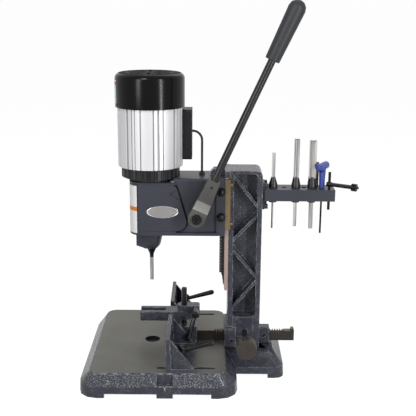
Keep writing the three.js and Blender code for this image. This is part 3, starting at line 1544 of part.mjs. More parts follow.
function fenceCasting() {
  const half = fenceWidth / 2;
  const flangeTop = fenceFoot + fenceFlangeThickness;
  const inside = fenceRear - bite;
  const bossProud = 4;
  const bossRear = fenceFlangeRear + bossProud;
  const plate = sideProfile(polygon([[fenceFront, fenceFoot], [fenceRear, fenceFoot],
    [fenceFront + fenceTopThickness, fenceTop], [fenceFront, fenceTop]]), -half, half);
  const flange = block(inside, fenceFlangeRear, -half, half, fenceFoot, flangeTop);
  const boss = block(inside, bossRear, -fenceBossWidth / 2, fenceBossWidth / 2, fenceFoot, fenceBossTop);
  const gussetDrop = 6;
  const gussetTop = fenceTop - gussetDrop;
  const gussetLand = 3;
  const gussetFront = fenceFront + fenceTopThickness - bite;
  const gussetRear = fenceFlangeRear - edgeBreak;
  const gussetFoot = fenceFoot + bite;
  const gusset = polygon([[gussetFront, gussetFoot], [gussetRear, gussetFoot], [gussetRear, flangeTop],
    [gussetFront + gussetLand, gussetTop], [gussetFront, gussetTop]]);
  const gussetThickness = 7;
  const notchHalf = fenceNotchWidth / 2;
  const gussets = [half - 2 * gussetThickness, notchHalf + edgeBreak].flatMap((y) => [
    sideProfile(gusset, y, y + gussetThickness), sideProfile(gusset, -y - gussetThickness, -y)]);
  const notch = block(fenceFront - overrun, fenceRear + overrun, -notchHalf, notchHalf, fenceNotchBottom,
    fenceTop + overrun);
  const barHalf = barWidth / 2 + seatGap;
  const socket = block(barFront - seatGap, bossRear + overrun, -barHalf, barHalf, fenceFoot - overrun,
    barTop + seatGap);
  const postBore = rod(postRadius + seatGap, fenceBossTop, 'z', [studX, 0, postBottom - seatGap]);
  const studs = [-slotOffset, slotOffset];
  const pads = studs.map((y) => rod(studCollarRadius, studPadHeight, 'z', [studX, y, flangeTop - bite],
    smallSides));
  const studBores = studs.map((y) => rod(studRadius + seatGap, fenceTop, 'z', [studX, y, fenceFoot - overrun],
    smallSides));
  const whole = join(cut(plate, notch), flange, boss, ...gussets, ...pads);
  return cut(whole, socket, postBore, ...studBores);
}

const postBottom = 87;
const studCollarRadius = 10;
const studPadHeight = 9;

// Rack bar that carries the fence through the column, with its end stop
function fenceBar() {
  const teethStart = 150;
  const teethEnd = 338;
  const half = barWidth / 2;
  const rootZ = barTop - (1 + dedendumShare) * barModule;
  const stopHeight = 6;
  const stopLength = 8;
  const teeth = rackPoints(barModule, teethStart, teethEnd, knobX, barTop - barModule);
  const first = teeth[0][0];
  const last = teeth[teeth.length - 1][0];
  const stopTop = barTop + stopHeight;
  const stopFront = barRear - stopLength;
  const points = [[barFront, barBottom], [barRear, barBottom], [barRear, barTop],
    [barRear - edgeBreak, stopTop], [stopFront, stopTop], [stopFront - edgeBreak, barTop],
    [last, barTop], [last, rootZ]];
  for (const [along, height] of teeth.slice(1, -1).reverse()) points.push([along, height]);
  points.push([first, rootZ], [first, barTop], [barFront, barTop]);
  return sideProfile(polygon(points), -half, half);
}

// Clamp stud: a square head under the table slot, a shank up through the fence and a washer on top
function lockStud() {
  const headHalf = 12;
  const headTop = tableUnderside - seatGap;
  const headLength = 7;
  const leverGrip = 15;
  const shankTop = lockLeverZ + leverGrip;
  const collarBottom = fenceFoot + fenceFlangeThickness + studPadHeight - bite + seatGap;
  return join(
    block(-headHalf, headHalf, -headHalf, headHalf, headTop - headLength, headTop),
    rod(studRadius, shankTop - headTop + bite, 'z', [0, 0, headTop - bite], smallSides),
    rod(studCollarRadius, lockLeverZ - collarBottom, 'z', [0, 0, collarBottom], smallSides));
}

// Clamp lever: a ribbed hub on the stud and a tapered arm that rises away from it, along its own X
function clampLever(armLength, rise, bored) {
  const hubRadius = 9;
  const hubHeight = 24;
  const armRoot = 5;
  const armEnd = 7;
  const tilt = Math.atan2(rise, armLength);
  const hubChamfer = 3;
  const solidHub = turned([[0, seatGap], [hubRadius, seatGap], [hubRadius, hubHeight - hubChamfer],
    [hubRadius - hubChamfer, hubHeight], [0, hubHeight]], 'z', [0, 0, 0], smallSides);
  const boreRadius = (studRadius + seatGap) / Math.cos(Math.PI / roundSides);
  const bore = rod(boreRadius, hubHeight * 0.75, 'z', [0, 0, -overrun]);
  const hub = bored ? cut(solidHub, bore) : solidHub;
  const armStart = studRadius + 2 * bite;
  const armProfile = [[0, armStart], [armRoot, armStart], [armEnd, armLength - armEnd]];
  for (let i = 1; i <= cornerSteps; i++) {
    const angle = i / cornerSteps * Math.PI / 2;
    armProfile.push([armEnd * Math.cos(angle), armLength - armEnd + armEnd * Math.sin(angle)]);
  }
  const lathe = new THREE.LatheGeometry(armProfile.map(([r, h]) => new THREE.Vector2(r, h)), smallSides);
  lathe.rotateX(Math.PI / 2);
  lathe.rotateY(Math.PI / 2 - tilt);
  lathe.translate(0, 0, hubHeight * 0.5);
  return join(hub, solidOf(lathe));
}

const lockArmLength = 79;
const lockArmRise = 22;
addPart(fenceGroup, 'fence_casting', fenceCasting(), hammerPaint());
addPart(fenceGroup, 'fence_bar', fenceBar(), blackSteel());
for (const [name, side] of [['near', -1], ['far', 1]]) {
  const stud = addPart(fenceGroup, `lock_stud_${name}`, lockStud(), blackSteel());
  stud.position.set(studX, side * slotOffset, 0);
  const leverSolid = clampLever(lockArmLength, lockArmRise, true);
  const lever = addPart(fenceGroup, `lock_lever_${name}`, leverSolid, blackPaint());
  lever.position.set(studX, side * slotOffset, lockLeverZ);
}

const postHead = 1.5;
const postProfile = [[0, postBottom], [postRadius, postBottom], [postRadius, postTop - postHead],
  [postRadius - postHead, postTop], [0, postTop]];
addPart(fenceGroup, 'hold_down_post', turned(postProfile, 'z', [studX, 0, 0]), blackSteel());

// Fork that holds the work down, clamped on the post
const clampX = 109;
const clampZ = 145;
const clampFace = 14;
const clampSpacer = 20;

function holdDownFork() {
  const outer = forkHalfWidth;
  const inner = forkSlot / 2;
  const corner = 5;
  const splitHalf = 1;
  const shape = new THREE.Shape();
  shape.moveTo(forkFront, -outer);
  shape.lineTo(studX - 2 * forkHubRadius, -outer);
  shape.lineTo(studX, -forkHubRadius);
  shape.lineTo(studX, forkHubRadius);
  shape.lineTo(studX - 2 * forkHubRadius, outer);
  shape.lineTo(forkFront, outer);
  shape.lineTo(forkFront, inner);
  shape.lineTo(forkCrotch - inner, inner);
  shape.quadraticCurveTo(forkCrotch, inner, forkCrotch, 0);
  shape.quadraticCurveTo(forkCrotch, -inner, forkCrotch - inner, -inner);
  shape.lineTo(forkFront, -inner);
  shape.closePath();
  const fork = planProfile(shape, forkBottom, forkTop);
  const hub = rod(forkHubRadius, forkHubTop - forkBottom, 'z', [studX, 0, forkBottom]);
  const lugReach = 10;
  const lugRear = clampX + lugReach;
  const lugShape = roundedShape(studX, lugRear, forkBottom + corner, forkHubTop, corner);
  const lug = sideProfile(lugShape, -clampFace, clampFace);
  const bore = rod(postRadius + slideClearance, forkHubTop, 'z', [studX, 0, forkBottom - overrun]);
  const split = block(studX, lugRear + overrun, -splitHalf, splitHalf, forkBottom - overrun,
    forkHubTop + overrun);
  const screwBore = rod(studRadius + seatGap, 3 * clampFace, 'y', [clampX, -1.5 * clampFace, clampZ]);
  return cut(join(fork, hub, lug), bore, split, screwBore);
}

// The clamp lever has its own screw, so its hub is filled and the screw runs through the fork's lug
const clampArmLength = 71;
const clampArmRise = 18;

function holdDownLever() {
  const stemWall = 3;
  const raised = clampLever(clampArmLength, clampArmRise, false);
  const stem = rod(studRadius + stemWall, clampSpacer, 'z', [0, 0, seatGap - clampSpacer], smallSides);
  const screwDepth = clampSpacer + 2 * clampFace;
  const inHub = 18;
  const screw = rod(studRadius, screwDepth + inHub, 'z', [0, 0, -screwDepth], smallSides);
  return join(raised, stem, screw);
}

const clampGroup = new THREE.Group();
clampGroup.position.set(clampX, -clampFace - clampSpacer, clampZ);
clampGroup.rotation.x = Math.PI / 2;
fenceGroup.add(clampGroup);
const clampLean = 0.29;
const clampTurn = -Math.PI / 2 - clampLean;
addPart(fenceGroup, 'hold_down_fork', holdDownFork(), hammerPaint());
addPart(clampGroup, 'hold_down_lever', holdDownLever(), blackPaint()).rotation.z = clampTurn;

// Fence knob with its pinion shaft
function knobShaft() {
  const nearEnd = -knobFace + knobLength / 2;
  const toothedWidth = barWidth - 2 * edgeBreak;
  const teeth = toothedShape(barModule, knobTeeth, 0, knobTeeth - 1, 0, -Math.PI / 2);
  return join(
    sideProfile(teeth, -toothedWidth / 2, toothedWidth / 2),
    rod(knobShaftRadius, knobBlindEnd - seatGap - nearEnd, 'y', [0, nearEnd, 0]));
}

function fenceKnob() {
  const knurls = 24;
  const hubRadius = 15;
  const hubLength = 16;
  const knurlDepth = 1.2;
  const outline = flutedShape(knobRadius, knobRadius - knurlDepth, knurls, 0.5);
  const grip = sideProfile(outline, -knobFace, knobLength - knobFace);
  const hub = rod(hubRadius, hubLength + bite, 'y', [0, knobLength - knobFace - bite, 0]);
  const bore = rod(knobShaftRadius + seatGap, knobFace, 'y', [0, knobLength / 2 - knobFace - seatGap, 0]);
  return cut(join(grip, hub), bore);
}

const knobGroup = new THREE.Group();
knobGroup.position.set(knobX, 0, knobZ);
model.add(knobGroup);
addPart(knobGroup, 'knob_shaft', knobShaft(), brightSteel());
addPart(knobGroup, 'fence_knob', fenceKnob(), blackSteel());

// Stored tooling: three chisels with their augers, a hex key and a chuck key
const storedTools = [
  { name: 'stored_chisel_small', side: 8, blade: 57, auger: 2.6, below: 102 },
  { name: 'stored_chisel_medium', side: 12.5, blade: 91, auger: 4.2, below: 97 },
  { name: 'stored_chisel_large', side: 16, blade: 88, auger: 5.6, below: 102 },
];
const storedShoulder = 27;
const storedShankLength = 36;

// Stored point up: the shoulder rests on the holder and the shank hangs through its hole
function storedChisel({ side, blade, auger, below }) {
  const half = side / 2;
  const collarProud = 1.5;
  const collar = storedShankRadius + collarProud;
  const collarHeight = 7;
  const body = turned([[0, -storedShankLength], [storedShankRadius, -storedShankLength],
    [storedShankRadius, 0], [collar, seatGap], [collar, collarHeight], [half * 1.1, storedShoulder],
    [0, storedShoulder]]);
  const square = block(-half, half, -half, half, storedShoulder - overrun, storedShoulder + blade);
  const rim = half * 1.45;
  const grind = turned([[0, -half * 1.1], [rim, seatGap], [rim, overrun], [0, overrun]], 'z',
    [0, 0, storedShoulder + blade], smallSides);
  const windowHalf = half * 0.45;
  const chipWindow = block(0, half + overrun, -windowHalf, windowHalf, storedShoulder + blade * 0.25,
    storedShoulder + blade * 0.75);
  const shank = rod(auger, below - storedShankLength + bite, 'z', [0, 0, -below], smallSides);
  const point = rod(half * 0.6, blade * 0.9, 'z', [0, 0, storedShoulder + blade * 0.1], smallSides);
  return join(cut(join(body, square), grind, chipWindow), shank, point);
}

storedTools.forEach((tool, i) => {
  addPart(model, tool.name, storedChisel(tool), brightSteel()).position.set(storedX[i], 0, holderTop);
});

function hexKeyHandle() {
  const barRadius = 8;
  const barLength = 52;
  const neckTop = 52;
  const round = barRadius / 2;
  const bar = turned([[0, 0], [barRadius * 0.7, 0], [barRadius, round], [barRadius, barLength - round],
    [barRadius * 0.7, barLength], [0, barLength]], 'x', [-barLength / 2, 0, neckTop], smallSides);
  const neck = turned([[0, seatGap], [barRadius * 0.9, seatGap], [barRadius * 0.8, neckTop / 2],
    [barRadius, neckTop], [0, neckTop]], 'z', [0, 0, 0], smallSides);
  const bore = rod(hexKeyRadius + seatGap, neckTop * 0.7, 'z', [0, 0, -overrun], smallSides);
  return cut(join(bar, neck), bore);
}

const hexKeyGroup = new THREE.Group();
hexKeyGroup.position.set(hexKeyX, 0, holderTop);
hexKeyGroup.rotation.z = Math.PI / 3;
model.add(hexKeyGroup);
const hexKeyBelow = 114;
const hexKeyInside = 24;
const hexSides = 6;
addPart(hexKeyGroup, 'hex_key_handle', hexKeyHandle(), bluePlastic());
addPart(hexKeyGroup, 'hex_key_shank', rod(hexKeyRadius, hexKeyBelow + hexKeyInside, 'z',
  [0, 0, -hexKeyBelow], hexSides), blackSteel());

// Chuck key: its cross bar hangs in a hole of the holder and its toothed nose points to the rear
function chuckKey() {
  const barBottom = -51;
  const barLength = 92;
  const bodyZ = 11;
  const bodyRadius = 6;
  const neckRadius = 5;
  const bodyLength = 58;
  const noseLength = 12;
  const noseRadius = 9;
  const pilotLength = 6;
  const teeth = 10;
  const bar = rod(chuckKeyBarRadius, barLength, 'z', [0, 0, barBottom], smallSides);
  const body = turned([[0, -bodyRadius], [bodyRadius, -bodyRadius], [bodyRadius, bodyRadius],
    [neckRadius, bodyRadius + 2 * edgeBreak], [neckRadius, bodyLength], [0, bodyLength]], 'x', [0, 0, bodyZ],
    smallSides);
  const nose = prism(flutedShape(noseRadius, noseRadius * 0.72, teeth, 0.4), noseLength, 'x',
    [bodyLength - bite, 0, bodyZ]);
  const pilot = turned([[0, 0], [chuckKeyBarRadius, 0], [chuckKeyBarRadius - edgeBreak, pilotLength],
    [0, pilotLength]], 'x', [bodyLength + noseLength - 2 * bite, 0, bodyZ], smallSides);
  return join(bar, body, nose, pilot);
}

const chuckKeyTurn = -0.55;
const chuckKeyMesh = addPart(model, 'chuck_key', chuckKey(), blackSteel());
chuckKeyMesh.position.set(chuckKeyX, chuckKeyY, holderTop);
chuckKeyMesh.rotation.z = chuckKeyTurn;

const stickBelow = 10;
const stickAbove = 59;
addPart(model, 'wooden_stick', rod(stickRadius, stickBelow + stickAbove, 'z',
  [stickX, stickY, holderTop - stickBelow], smallSides), bareWood());

// The finished model stands over its own middle
const bounds = new THREE.Box3().setFromObject(model, true);
const middle = bounds.getCenter(new THREE.Vector3());
model.position.set(-middle.x, -middle.y, 0);

export default model;
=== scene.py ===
import math

import bmesh
import bpy
from mathutils import Matrix, Vector


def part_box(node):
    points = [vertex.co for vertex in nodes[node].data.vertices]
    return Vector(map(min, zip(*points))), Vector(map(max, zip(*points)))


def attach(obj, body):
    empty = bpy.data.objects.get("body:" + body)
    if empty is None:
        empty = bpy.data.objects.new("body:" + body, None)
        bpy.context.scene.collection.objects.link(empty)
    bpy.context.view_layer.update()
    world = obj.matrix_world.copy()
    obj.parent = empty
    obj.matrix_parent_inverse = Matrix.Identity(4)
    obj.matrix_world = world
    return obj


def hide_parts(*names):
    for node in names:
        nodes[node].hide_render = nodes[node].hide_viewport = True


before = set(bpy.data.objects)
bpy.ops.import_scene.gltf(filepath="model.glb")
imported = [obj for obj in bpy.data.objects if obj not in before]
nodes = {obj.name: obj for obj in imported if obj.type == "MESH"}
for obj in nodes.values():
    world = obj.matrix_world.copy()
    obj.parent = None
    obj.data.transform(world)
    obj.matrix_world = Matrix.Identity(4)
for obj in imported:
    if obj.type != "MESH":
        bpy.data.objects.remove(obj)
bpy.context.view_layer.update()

# Camera: it stands beside the machine on the handle side, a little over the motor, and looks down on it.
# The place and the lens come from the straight edges of the column and the table in the photograph.
camera_place = (-0.0277, -1.882, 0.890)
camera_tilt = math.radians(14.57)
camera_roll = math.radians(0.4)
sensor_width = 36
photo_pixels = 416
focal_pixels = 800

camera = bpy.data.objects.new("camera", bpy.data.cameras.new("camera"))
camera.data.sensor_width = sensor_width
camera.data.lens = focal_pixels / photo_pixels * sensor_width
camera.matrix_world = (Matrix.Translation(camera_place)
                       @ Matrix.Rotation(math.pi / 2 - camera_tilt, 4, "X")
                       @ Matrix.Rotation(camera_roll, 4, "Z"))
bpy.context.scene.collection.objects.link(camera)
bpy.context.scene.camera = camera


# Motor lead: a short black rubber flex from the capacitor box down into the gland on the head.
# It leaves the box level, bends down under its own weight and enters the gland upright.
lead_width = 0.0056
lead_exit = (-0.0664, 0, 0.5900)
lead_straight = 0.0012
lead_bend = 0.0224
lead_end_z = 0.4933
lead_bend_steps = 8
lead_drop_steps = 6


def lead_route():
    x, _, z = lead_exit
    points = [Vector(lead_exit)]
    for step in range(lead_bend_steps + 1):
        angle = step / lead_bend_steps * math.pi / 2
        points.append(Vector((x + lead_straight + lead_bend * math.sin(angle), 0,
                              z - lead_bend * (1 - math.cos(angle)))))
    last = points[-1].copy()
    end = Vector((last.x, 0, lead_end_z))
    points += [last.lerp(end, step / lead_drop_steps) for step in range(1, lead_drop_steps + 1)]
    return points


def link(name, mesh):
    piece = bpy.data.objects.new(name, mesh)
    bpy.context.scene.collection.objects.link(piece)
    return piece


def lead_curve(name, points, width):
    """A round flex. Its radius sits in its points, because Blender adds a point's radius to a curve's box."""
    curve = bpy.data.curves.new(name, "CURVE")
    curve.dimensions = "3D"
    curve.bevel_depth = 1
    curve.bevel_resolution = 5
    curve.resolution_u = 4
    curve.use_fill_caps = True
    line = curve.splines.new("POLY")
    line.points.add(len(points) - 1)
    for spot, point in zip(line.points, points):
        spot.co = (*point, 1)
        spot.radius = width / 2
    line.use_smooth = True
    return link(name, curve)


route = lead_route()
lead = lead_curve("motor_flex", route, lead_width)
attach(lead, "head")
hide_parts("motor_lead")


# Flex rubber: matt black, a little mottled where dust has settled.
# One material builder serves every finish; each finish adds its own effects to it.
def wire(tree, start, end):
    tree.links.new(start, end)


def node_in(tree, kind, settings=None, **inputs):
    made = tree.nodes.new(kind)
    for key, value in (settings or {}).items():
        setattr(made, key, value)
    for key, value in inputs.items():
        socket = made.inputs[key.replace("_", " ")]
        if hasattr(value, "is_output"):
            tree.links.new(value, socket)
        else:
            socket.default_value = value
    return made


def new_finish(name, colour, roughness, metallic=0.0, coat=0.0, coat_roughness=0.1, specular=0.5):
    material = bpy.data.materials.new(name)
    material.use_nodes = True
    material.diffuse_color = (*colour, 1)
    shader = material.node_tree.nodes["Principled BSDF"]
    shader.inputs["Base Color"].default_value = (*colour, 1)
    shader.inputs["Roughness"].default_value = roughness
    shader.inputs["Metallic"].default_value = metallic
    shader.inputs["Coat Weight"].default_value = coat
    shader.inputs["Coat Roughness"].default_value = coat_roughness
    shader.inputs["Specular IOR Level"].default_value = specular
    return material, material.node_tree, shader


def new_group(name, inputs, outputs):
    tree = bpy.data.node_groups.new(name, "ShaderNodeTree")
    for label, kind, value in inputs:
        socket = tree.interface.new_socket(name=label, in_out="INPUT", socket_type=kind)
        socket.default_value = value
    for label, kind in outputs:
        tree.interface.new_socket(name=label, in_out="OUTPUT", socket_type=kind)
    start = tree.nodes.new("NodeGroupInput")
    end = tree.nodes.new("NodeGroupOutput")
    return tree, start.outputs, end.inputs


def place_group(tree, group, **inputs):
    made = tree.nodes.new("ShaderNodeGroup")
    made.node_tree = group
    for key, value in inputs.items():
        socket = made.inputs[key.replace("_", " ")]
        if hasattr(value, "is_output"):
            tree.links.new(value, socket)
        else:
            socket.default_value = value
    return made.outputs


def build_mottle():
    """Soft patches of lighter and darker tone with a finer grain in them."""
    tree, given, result = new_group(
        "mottle",
        [("Colour", "NodeSocketColor", (0.5, 0.5, 0.5, 1)), ("Spread", "NodeSocketFloat", 0.2),
         ("Size", "NodeSocketFloat", 20.0), ("Stretch", "NodeSocketVector", (1, 1, 1)),
         ("Roughness", "NodeSocketFloat", 0.5), ("Roughness Spread", "NodeSocketFloat", 0.1)],
        [("Colour", "NodeSocketColor"), ("Roughness", "NodeSocketFloat"), ("Mask", "NodeSocketFloat")])
    place = node_in(tree, "ShaderNodeTexCoord")
    stretched = node_in(tree, "ShaderNodeVectorMath", {"operation": "MULTIPLY"})
    wire(tree, place.outputs["Object"], stretched.inputs[0])
    wire(tree, given["Stretch"], stretched.inputs[1])
    patches = node_in(tree, "ShaderNodeTexNoise", Detail=6.0, Roughness=0.62, Vector=stretched.outputs[0],
                      Scale=given["Size"])
    tone = node_in(tree, "ShaderNodeMapRange", From_Min=0.3, From_Max=0.7, Value=patches.outputs[0])
    swing = node_in(tree, "ShaderNodeMath", {"operation": "MULTIPLY_ADD"})
    wire(tree, tone.outputs[0], swing.inputs[0])
    wire(tree, given["Spread"], swing.inputs[1])
    lower = node_in(tree, "ShaderNodeMath", {"operation": "MULTIPLY_ADD"})
    wire(tree, given["Spread"], lower.inputs[0])
    lower.inputs[1].default_value = -0.5
    lower.inputs[2].default_value = 1.0
    wire(tree, lower.outputs[0], swing.inputs[2])
    shaded = node_in(tree, "ShaderNodeVectorMath", {"operation": "SCALE"})
    wire(tree, given["Colour"], shaded.inputs[0])
    wire(tree, swing.outputs[0], shaded.inputs["Scale"])
    gloss = node_in(tree, "ShaderNodeMath", {"operation": "MULTIPLY_ADD"})
    wire(tree, tone.outputs[0], gloss.inputs[0])
    wire(tree, given["Roughness Spread"], gloss.inputs[1])
    wire(tree, given["Roughness"], gloss.inputs[2])
    wire(tree, shaded.outputs[0], result["Colour"])
    wire(tree, gloss.outputs[0], result["Roughness"])
    wire(tree, tone.outputs[0], result["Mask"])
    return tree


def build_grain():
    """Height of a fine even grain, such as orange peel, moulding texture or machining lines."""
    tree, given, result = new_group(
        "grain",
        [("Size", "NodeSocketFloat", 300.0), ("Stretch", "NodeSocketVector", (1, 1, 1)),
         ("Sharpness", "NodeSocketFloat", 0.5)],
        [("Height", "NodeSocketFloat")])
    place = node_in(tree, "ShaderNodeTexCoord")
    stretched = node_in(tree, "ShaderNodeVectorMath", {"operation": "MULTIPLY"})
    wire(tree, place.outputs["Object"], stretched.inputs[0])
    wire(tree, given["Stretch"], stretched.inputs[1])
    grain = node_in(tree, "ShaderNodeTexNoise", Detail=3.0, Vector=stretched.outputs[0], Scale=given["Size"],
                    Roughness=given["Sharpness"])
    wire(tree, grain.outputs[0], result["Height"])
    return tree


mottle = build_mottle()
grain = build_grain()


grain_strength = 0.6


def bump_onto(tree, shader, height, strength, distance):
    bump = node_in(tree, "ShaderNodeBump", Strength=strength, Distance=distance, Height=height)
    wire(tree, bump.outputs[0], shader.inputs["Normal"])
    return bump


def mottled(name, colour, roughness, spread=0.2, size=20.0, stretch=(1, 1, 1), roughness_spread=0.12,
            grain_size=400.0, grain_depth=0.00005, grain_stretch=(1, 1, 1), **shader_values):
    material, tree, shader = new_finish(name, colour, roughness, **shader_values)
    tone = place_group(tree, mottle, Colour=(*colour, 1), Spread=spread, Size=size, Stretch=stretch,
                       Roughness=roughness, Roughness_Spread=roughness_spread)
    wire(tree, tone["Colour"], shader.inputs["Base Color"])
    wire(tree, tone["Roughness"], shader.inputs["Roughness"])
    bumps = place_group(tree, grain, Size=grain_size, Stretch=grain_stretch)
    bump_onto(tree, shader, bumps["Height"], grain_strength, grain_depth)
    return material


flex_rubber = mottled("flex_rubber", (0.005, 0.005, 0.006), 0.36, grain_size=900.0, specular=0.3)
lead.data.materials.append(flex_rubber)


# Base: a hollow grey-iron casting in thick hammered enamel, with its table ground bare.
# The castings come from the mould with rounded edges, so each one is bevelled and shaded round.
weld_distance = 0.00002
flat_angle = math.radians(1.0)
sharp_angle = math.radians(48)
normal_weight = 50


def finished_mesh(piece):
    bpy.context.view_layer.update()
    shaped = piece.evaluated_get(bpy.context.evaluated_depsgraph_get())
    mesh = bpy.data.meshes.new_from_object(shaped, preserve_all_data_layers=True,
                                           depsgraph=bpy.context.evaluated_depsgraph_get())
    piece.modifiers.clear()
    piece.data = mesh
    return piece


def clean_copy(node, name):
    """A new piece in the shape of a CAD node, with its flat faces made whole again."""
    mesh = nodes[node].data.copy()
    mesh.materials.clear()
    shape = bmesh.new()
    shape.from_mesh(mesh)
    bmesh.ops.remove_doubles(shape, verts=shape.verts, dist=weld_distance)
    bmesh.ops.dissolve_degenerate(shape, edges=shape.edges, dist=weld_distance)
    bmesh.ops.dissolve_limit(shape, angle_limit=flat_angle, verts=shape.verts, edges=shape.edges)
    for face in shape.faces:
        face.smooth = True
    shape.to_mesh(mesh)
    shape.free()
    mesh.name = name
    for layer in list(mesh.color_attributes):
        mesh.color_attributes.remove(layer)
    return link(name, mesh)


def round_edges(piece, width, segments=2, angle=32):
    bevel = piece.modifiers.new("rounding", "BEVEL")
    bevel.width = width
    bevel.segments = segments
    bevel.limit_method = "ANGLE"
    bevel.angle_limit = math.radians(angle)
    bevel.use_clamp_overlap = True
    bevel.miter_outer = "MITER_ARC"
    finished_mesh(piece)
    piece.data.set_sharp_from_angle(angle=sharp_angle)
    weighted = piece.modifiers.new("shading", "WEIGHTED_NORMAL")
    weighted.keep_sharp = True
    weighted.weight = normal_weight
    return finished_mesh(piece)


def dress(node, name, body, material, width=0.001, segments=2, angle=32):
    piece = clean_copy(node, name)
    piece.data.materials.append(material)
    round_edges(piece, width, segments, angle)
    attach(piece, body)
    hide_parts(node)
    return piece


def paint_faces(piece, material, chosen):
    """Gives the faces that the test picks another finish."""
    piece.data.materials.append(material)
    last = len(piece.data.materials) - 1
    for face in piece.data.polygons:
        if chosen(face.center, face.normal):
            face.material_index = last


def build_hammer():
    """Hammered enamel: shallow round dimples with bright rims between darker floors."""
    tree, given, result = new_group(
        "hammered_enamel",
        [("Colour", "NodeSocketColor", (0.1, 0.1, 0.12, 1)),
         ("Fleck", "NodeSocketColor", (0.5, 0.5, 0.55, 1)),
         ("Fleck Share", "NodeSocketFloat", 0.5), ("Size", "NodeSocketFloat", 260.0),
         ("Roughness", "NodeSocketFloat", 0.3), ("Evenness", "NodeSocketFloat", 0.0)],
        [("Colour", "NodeSocketColor"), ("Roughness", "NodeSocketFloat"), ("Height", "NodeSocketFloat")])
    place = node_in(tree, "ShaderNodeTexCoord")
    wobble = node_in(tree, "ShaderNodeTexNoise", Scale=120.0, Detail=2.0, Vector=place.outputs["Object"])
    bent = node_in(tree, "ShaderNodeVectorMath", {"operation": "MULTIPLY_ADD"})
    wire(tree, wobble.outputs["Color"], bent.inputs[0])
    bent.inputs[1].default_value = (0.004, 0.004, 0.004)
    wire(tree, place.outputs["Object"], bent.inputs[2])
    dimples = node_in(tree, "ShaderNodeTexVoronoi", {"feature": "SMOOTH_F1"}, Scale=given["Size"],
                      Smoothness=0.5, Vector=bent.outputs[0])
    rims = node_in(tree, "ShaderNodeMapRange", {"interpolation_type": "SMOOTHSTEP"}, From_Min=0.50,
                   From_Max=0.74, Value=dimples.outputs["Distance"])
    clusters = node_in(tree, "ShaderNodeTexNoise", Scale=60.0, Detail=4.0, Vector=place.outputs["Object"])
    gathered = node_in(tree, "ShaderNodeMapRange", From_Min=0.44, From_Max=0.64, Value=clusters.outputs[0])
    covered = node_in(tree, "ShaderNodeMath", {"operation": "MAXIMUM"})
    wire(tree, gathered.outputs[0], covered.inputs[0])
    wire(tree, given["Evenness"], covered.inputs[1])
    fleck = node_in(tree, "ShaderNodeMath", {"operation": "MULTIPLY"})
    wire(tree, rims.outputs[0], fleck.inputs[0])
    wire(tree, covered.outputs[0], fleck.inputs[1])
    share = node_in(tree, "ShaderNodeMath", {"operation": "MULTIPLY", "use_clamp": True})
    wire(tree, fleck.outputs[0], share.inputs[0])
    wire(tree, given["Fleck Share"], share.inputs[1])
    colour = node_in(tree, "ShaderNodeMix", {"data_type": "RGBA"})
    wire(tree, share.outputs[0], colour.inputs["Factor"])
    wire(tree, given["Colour"], colour.inputs[6])
    wire(tree, given["Fleck"], colour.inputs[7])
    rough = node_in(tree, "ShaderNodeMath", {"operation": "MULTIPLY_ADD"})
    wire(tree, gathered.outputs[0], rough.inputs[0])
    rough.inputs[1].default_value = 0.08
    wire(tree, given["Roughness"], rough.inputs[2])
    wire(tree, colour.outputs[2], result["Colour"])
    wire(tree, rough.outputs[0], result["Roughness"])
    wire(tree, dimples.outputs["Distance"], result["Height"])
    return tree


def build_painted_edge_highlight():
    """Mask of painted highlight along the outer edges, broken up so that no edge is lit evenly."""
    tree, given, result = new_group(
        "painted_edge_highlight", [("Width", "NodeSocketFloat", 0.0015), ("Amount", "NodeSocketFloat", 1.0)],
        [("Mask", "NodeSocketFloat")])
    rounded = node_in(tree, "ShaderNodeBevel", {"samples": 4}, Radius=given["Width"])
    true = node_in(tree, "ShaderNodeNewGeometry")
    match = node_in(tree, "ShaderNodeVectorMath", {"operation": "DOT_PRODUCT"})
    wire(tree, rounded.outputs[0], match.inputs[0])
    wire(tree, true.outputs["Normal"], match.inputs[1])
    edge = node_in(tree, "ShaderNodeMapRange", From_Min=0.985, From_Max=0.86, Value=match.outputs["Value"])
    place = node_in(tree, "ShaderNodeTexCoord")
    breaks = node_in(tree, "ShaderNodeTexNoise", Scale=70.0, Detail=5.0, Vector=place.outputs["Object"])
    broken = node_in(tree, "ShaderNodeMapRange", From_Min=0.4, From_Max=0.62, Value=breaks.outputs[0])
    lit_edges = node_in(tree, "ShaderNodeMath", {"operation": "MULTIPLY"})
    wire(tree, edge.outputs[0], lit_edges.inputs[0])
    wire(tree, broken.outputs[0], lit_edges.inputs[1])
    amount = node_in(tree, "ShaderNodeMath", {"operation": "MULTIPLY", "use_clamp": True})
    wire(tree, lit_edges.outputs[0], amount.inputs[0])
    wire(tree, given["Amount"], amount.inputs[1])
    wire(tree, amount.outputs[0], result["Mask"])
    return tree


hammer = build_hammer()
painted_edge_highlight = build_painted_edge_highlight()
edge_highlight_width = 0.0026
dimple_strength = 0.7


def hammered(name, fleck_share, evenness=0.0, size=400.0, depth=0.0012):
    colour, fleck, edge_highlight_colour = (0.029, 0.031, 0.044), (0.50, 0.51, 0.55), (0.42, 0.43, 0.47)
    roughness = 0.26
    material, tree, shader = new_finish(name, colour, roughness, coat=0.20, coat_roughness=0.10, specular=0.2)
    paint = place_group(tree, hammer, Colour=(*colour, 1), Fleck=(*fleck, 1), Fleck_Share=fleck_share,
                        Size=size, Roughness=roughness, Evenness=evenness)
    # Painted highlight: a light grey mixed into the enamel along the outer edges.
    highlighted_edges = place_group(tree, painted_edge_highlight, Width=edge_highlight_width, Amount=0.9)
    mix = node_in(tree, "ShaderNodeMix", {"data_type": "RGBA"})
    wire(tree, highlighted_edges["Mask"], mix.inputs["Factor"])
    wire(tree, paint["Colour"], mix.inputs[6])
    mix.inputs[7].default_value = (*edge_highlight_colour, 1)
    wire(tree, mix.outputs[2], shader.inputs["Base Color"])
    wire(tree, paint["Roughness"], shader.inputs["Roughness"])
    bump_onto(tree, shader, paint["Height"], dimple_strength, depth)
    return material


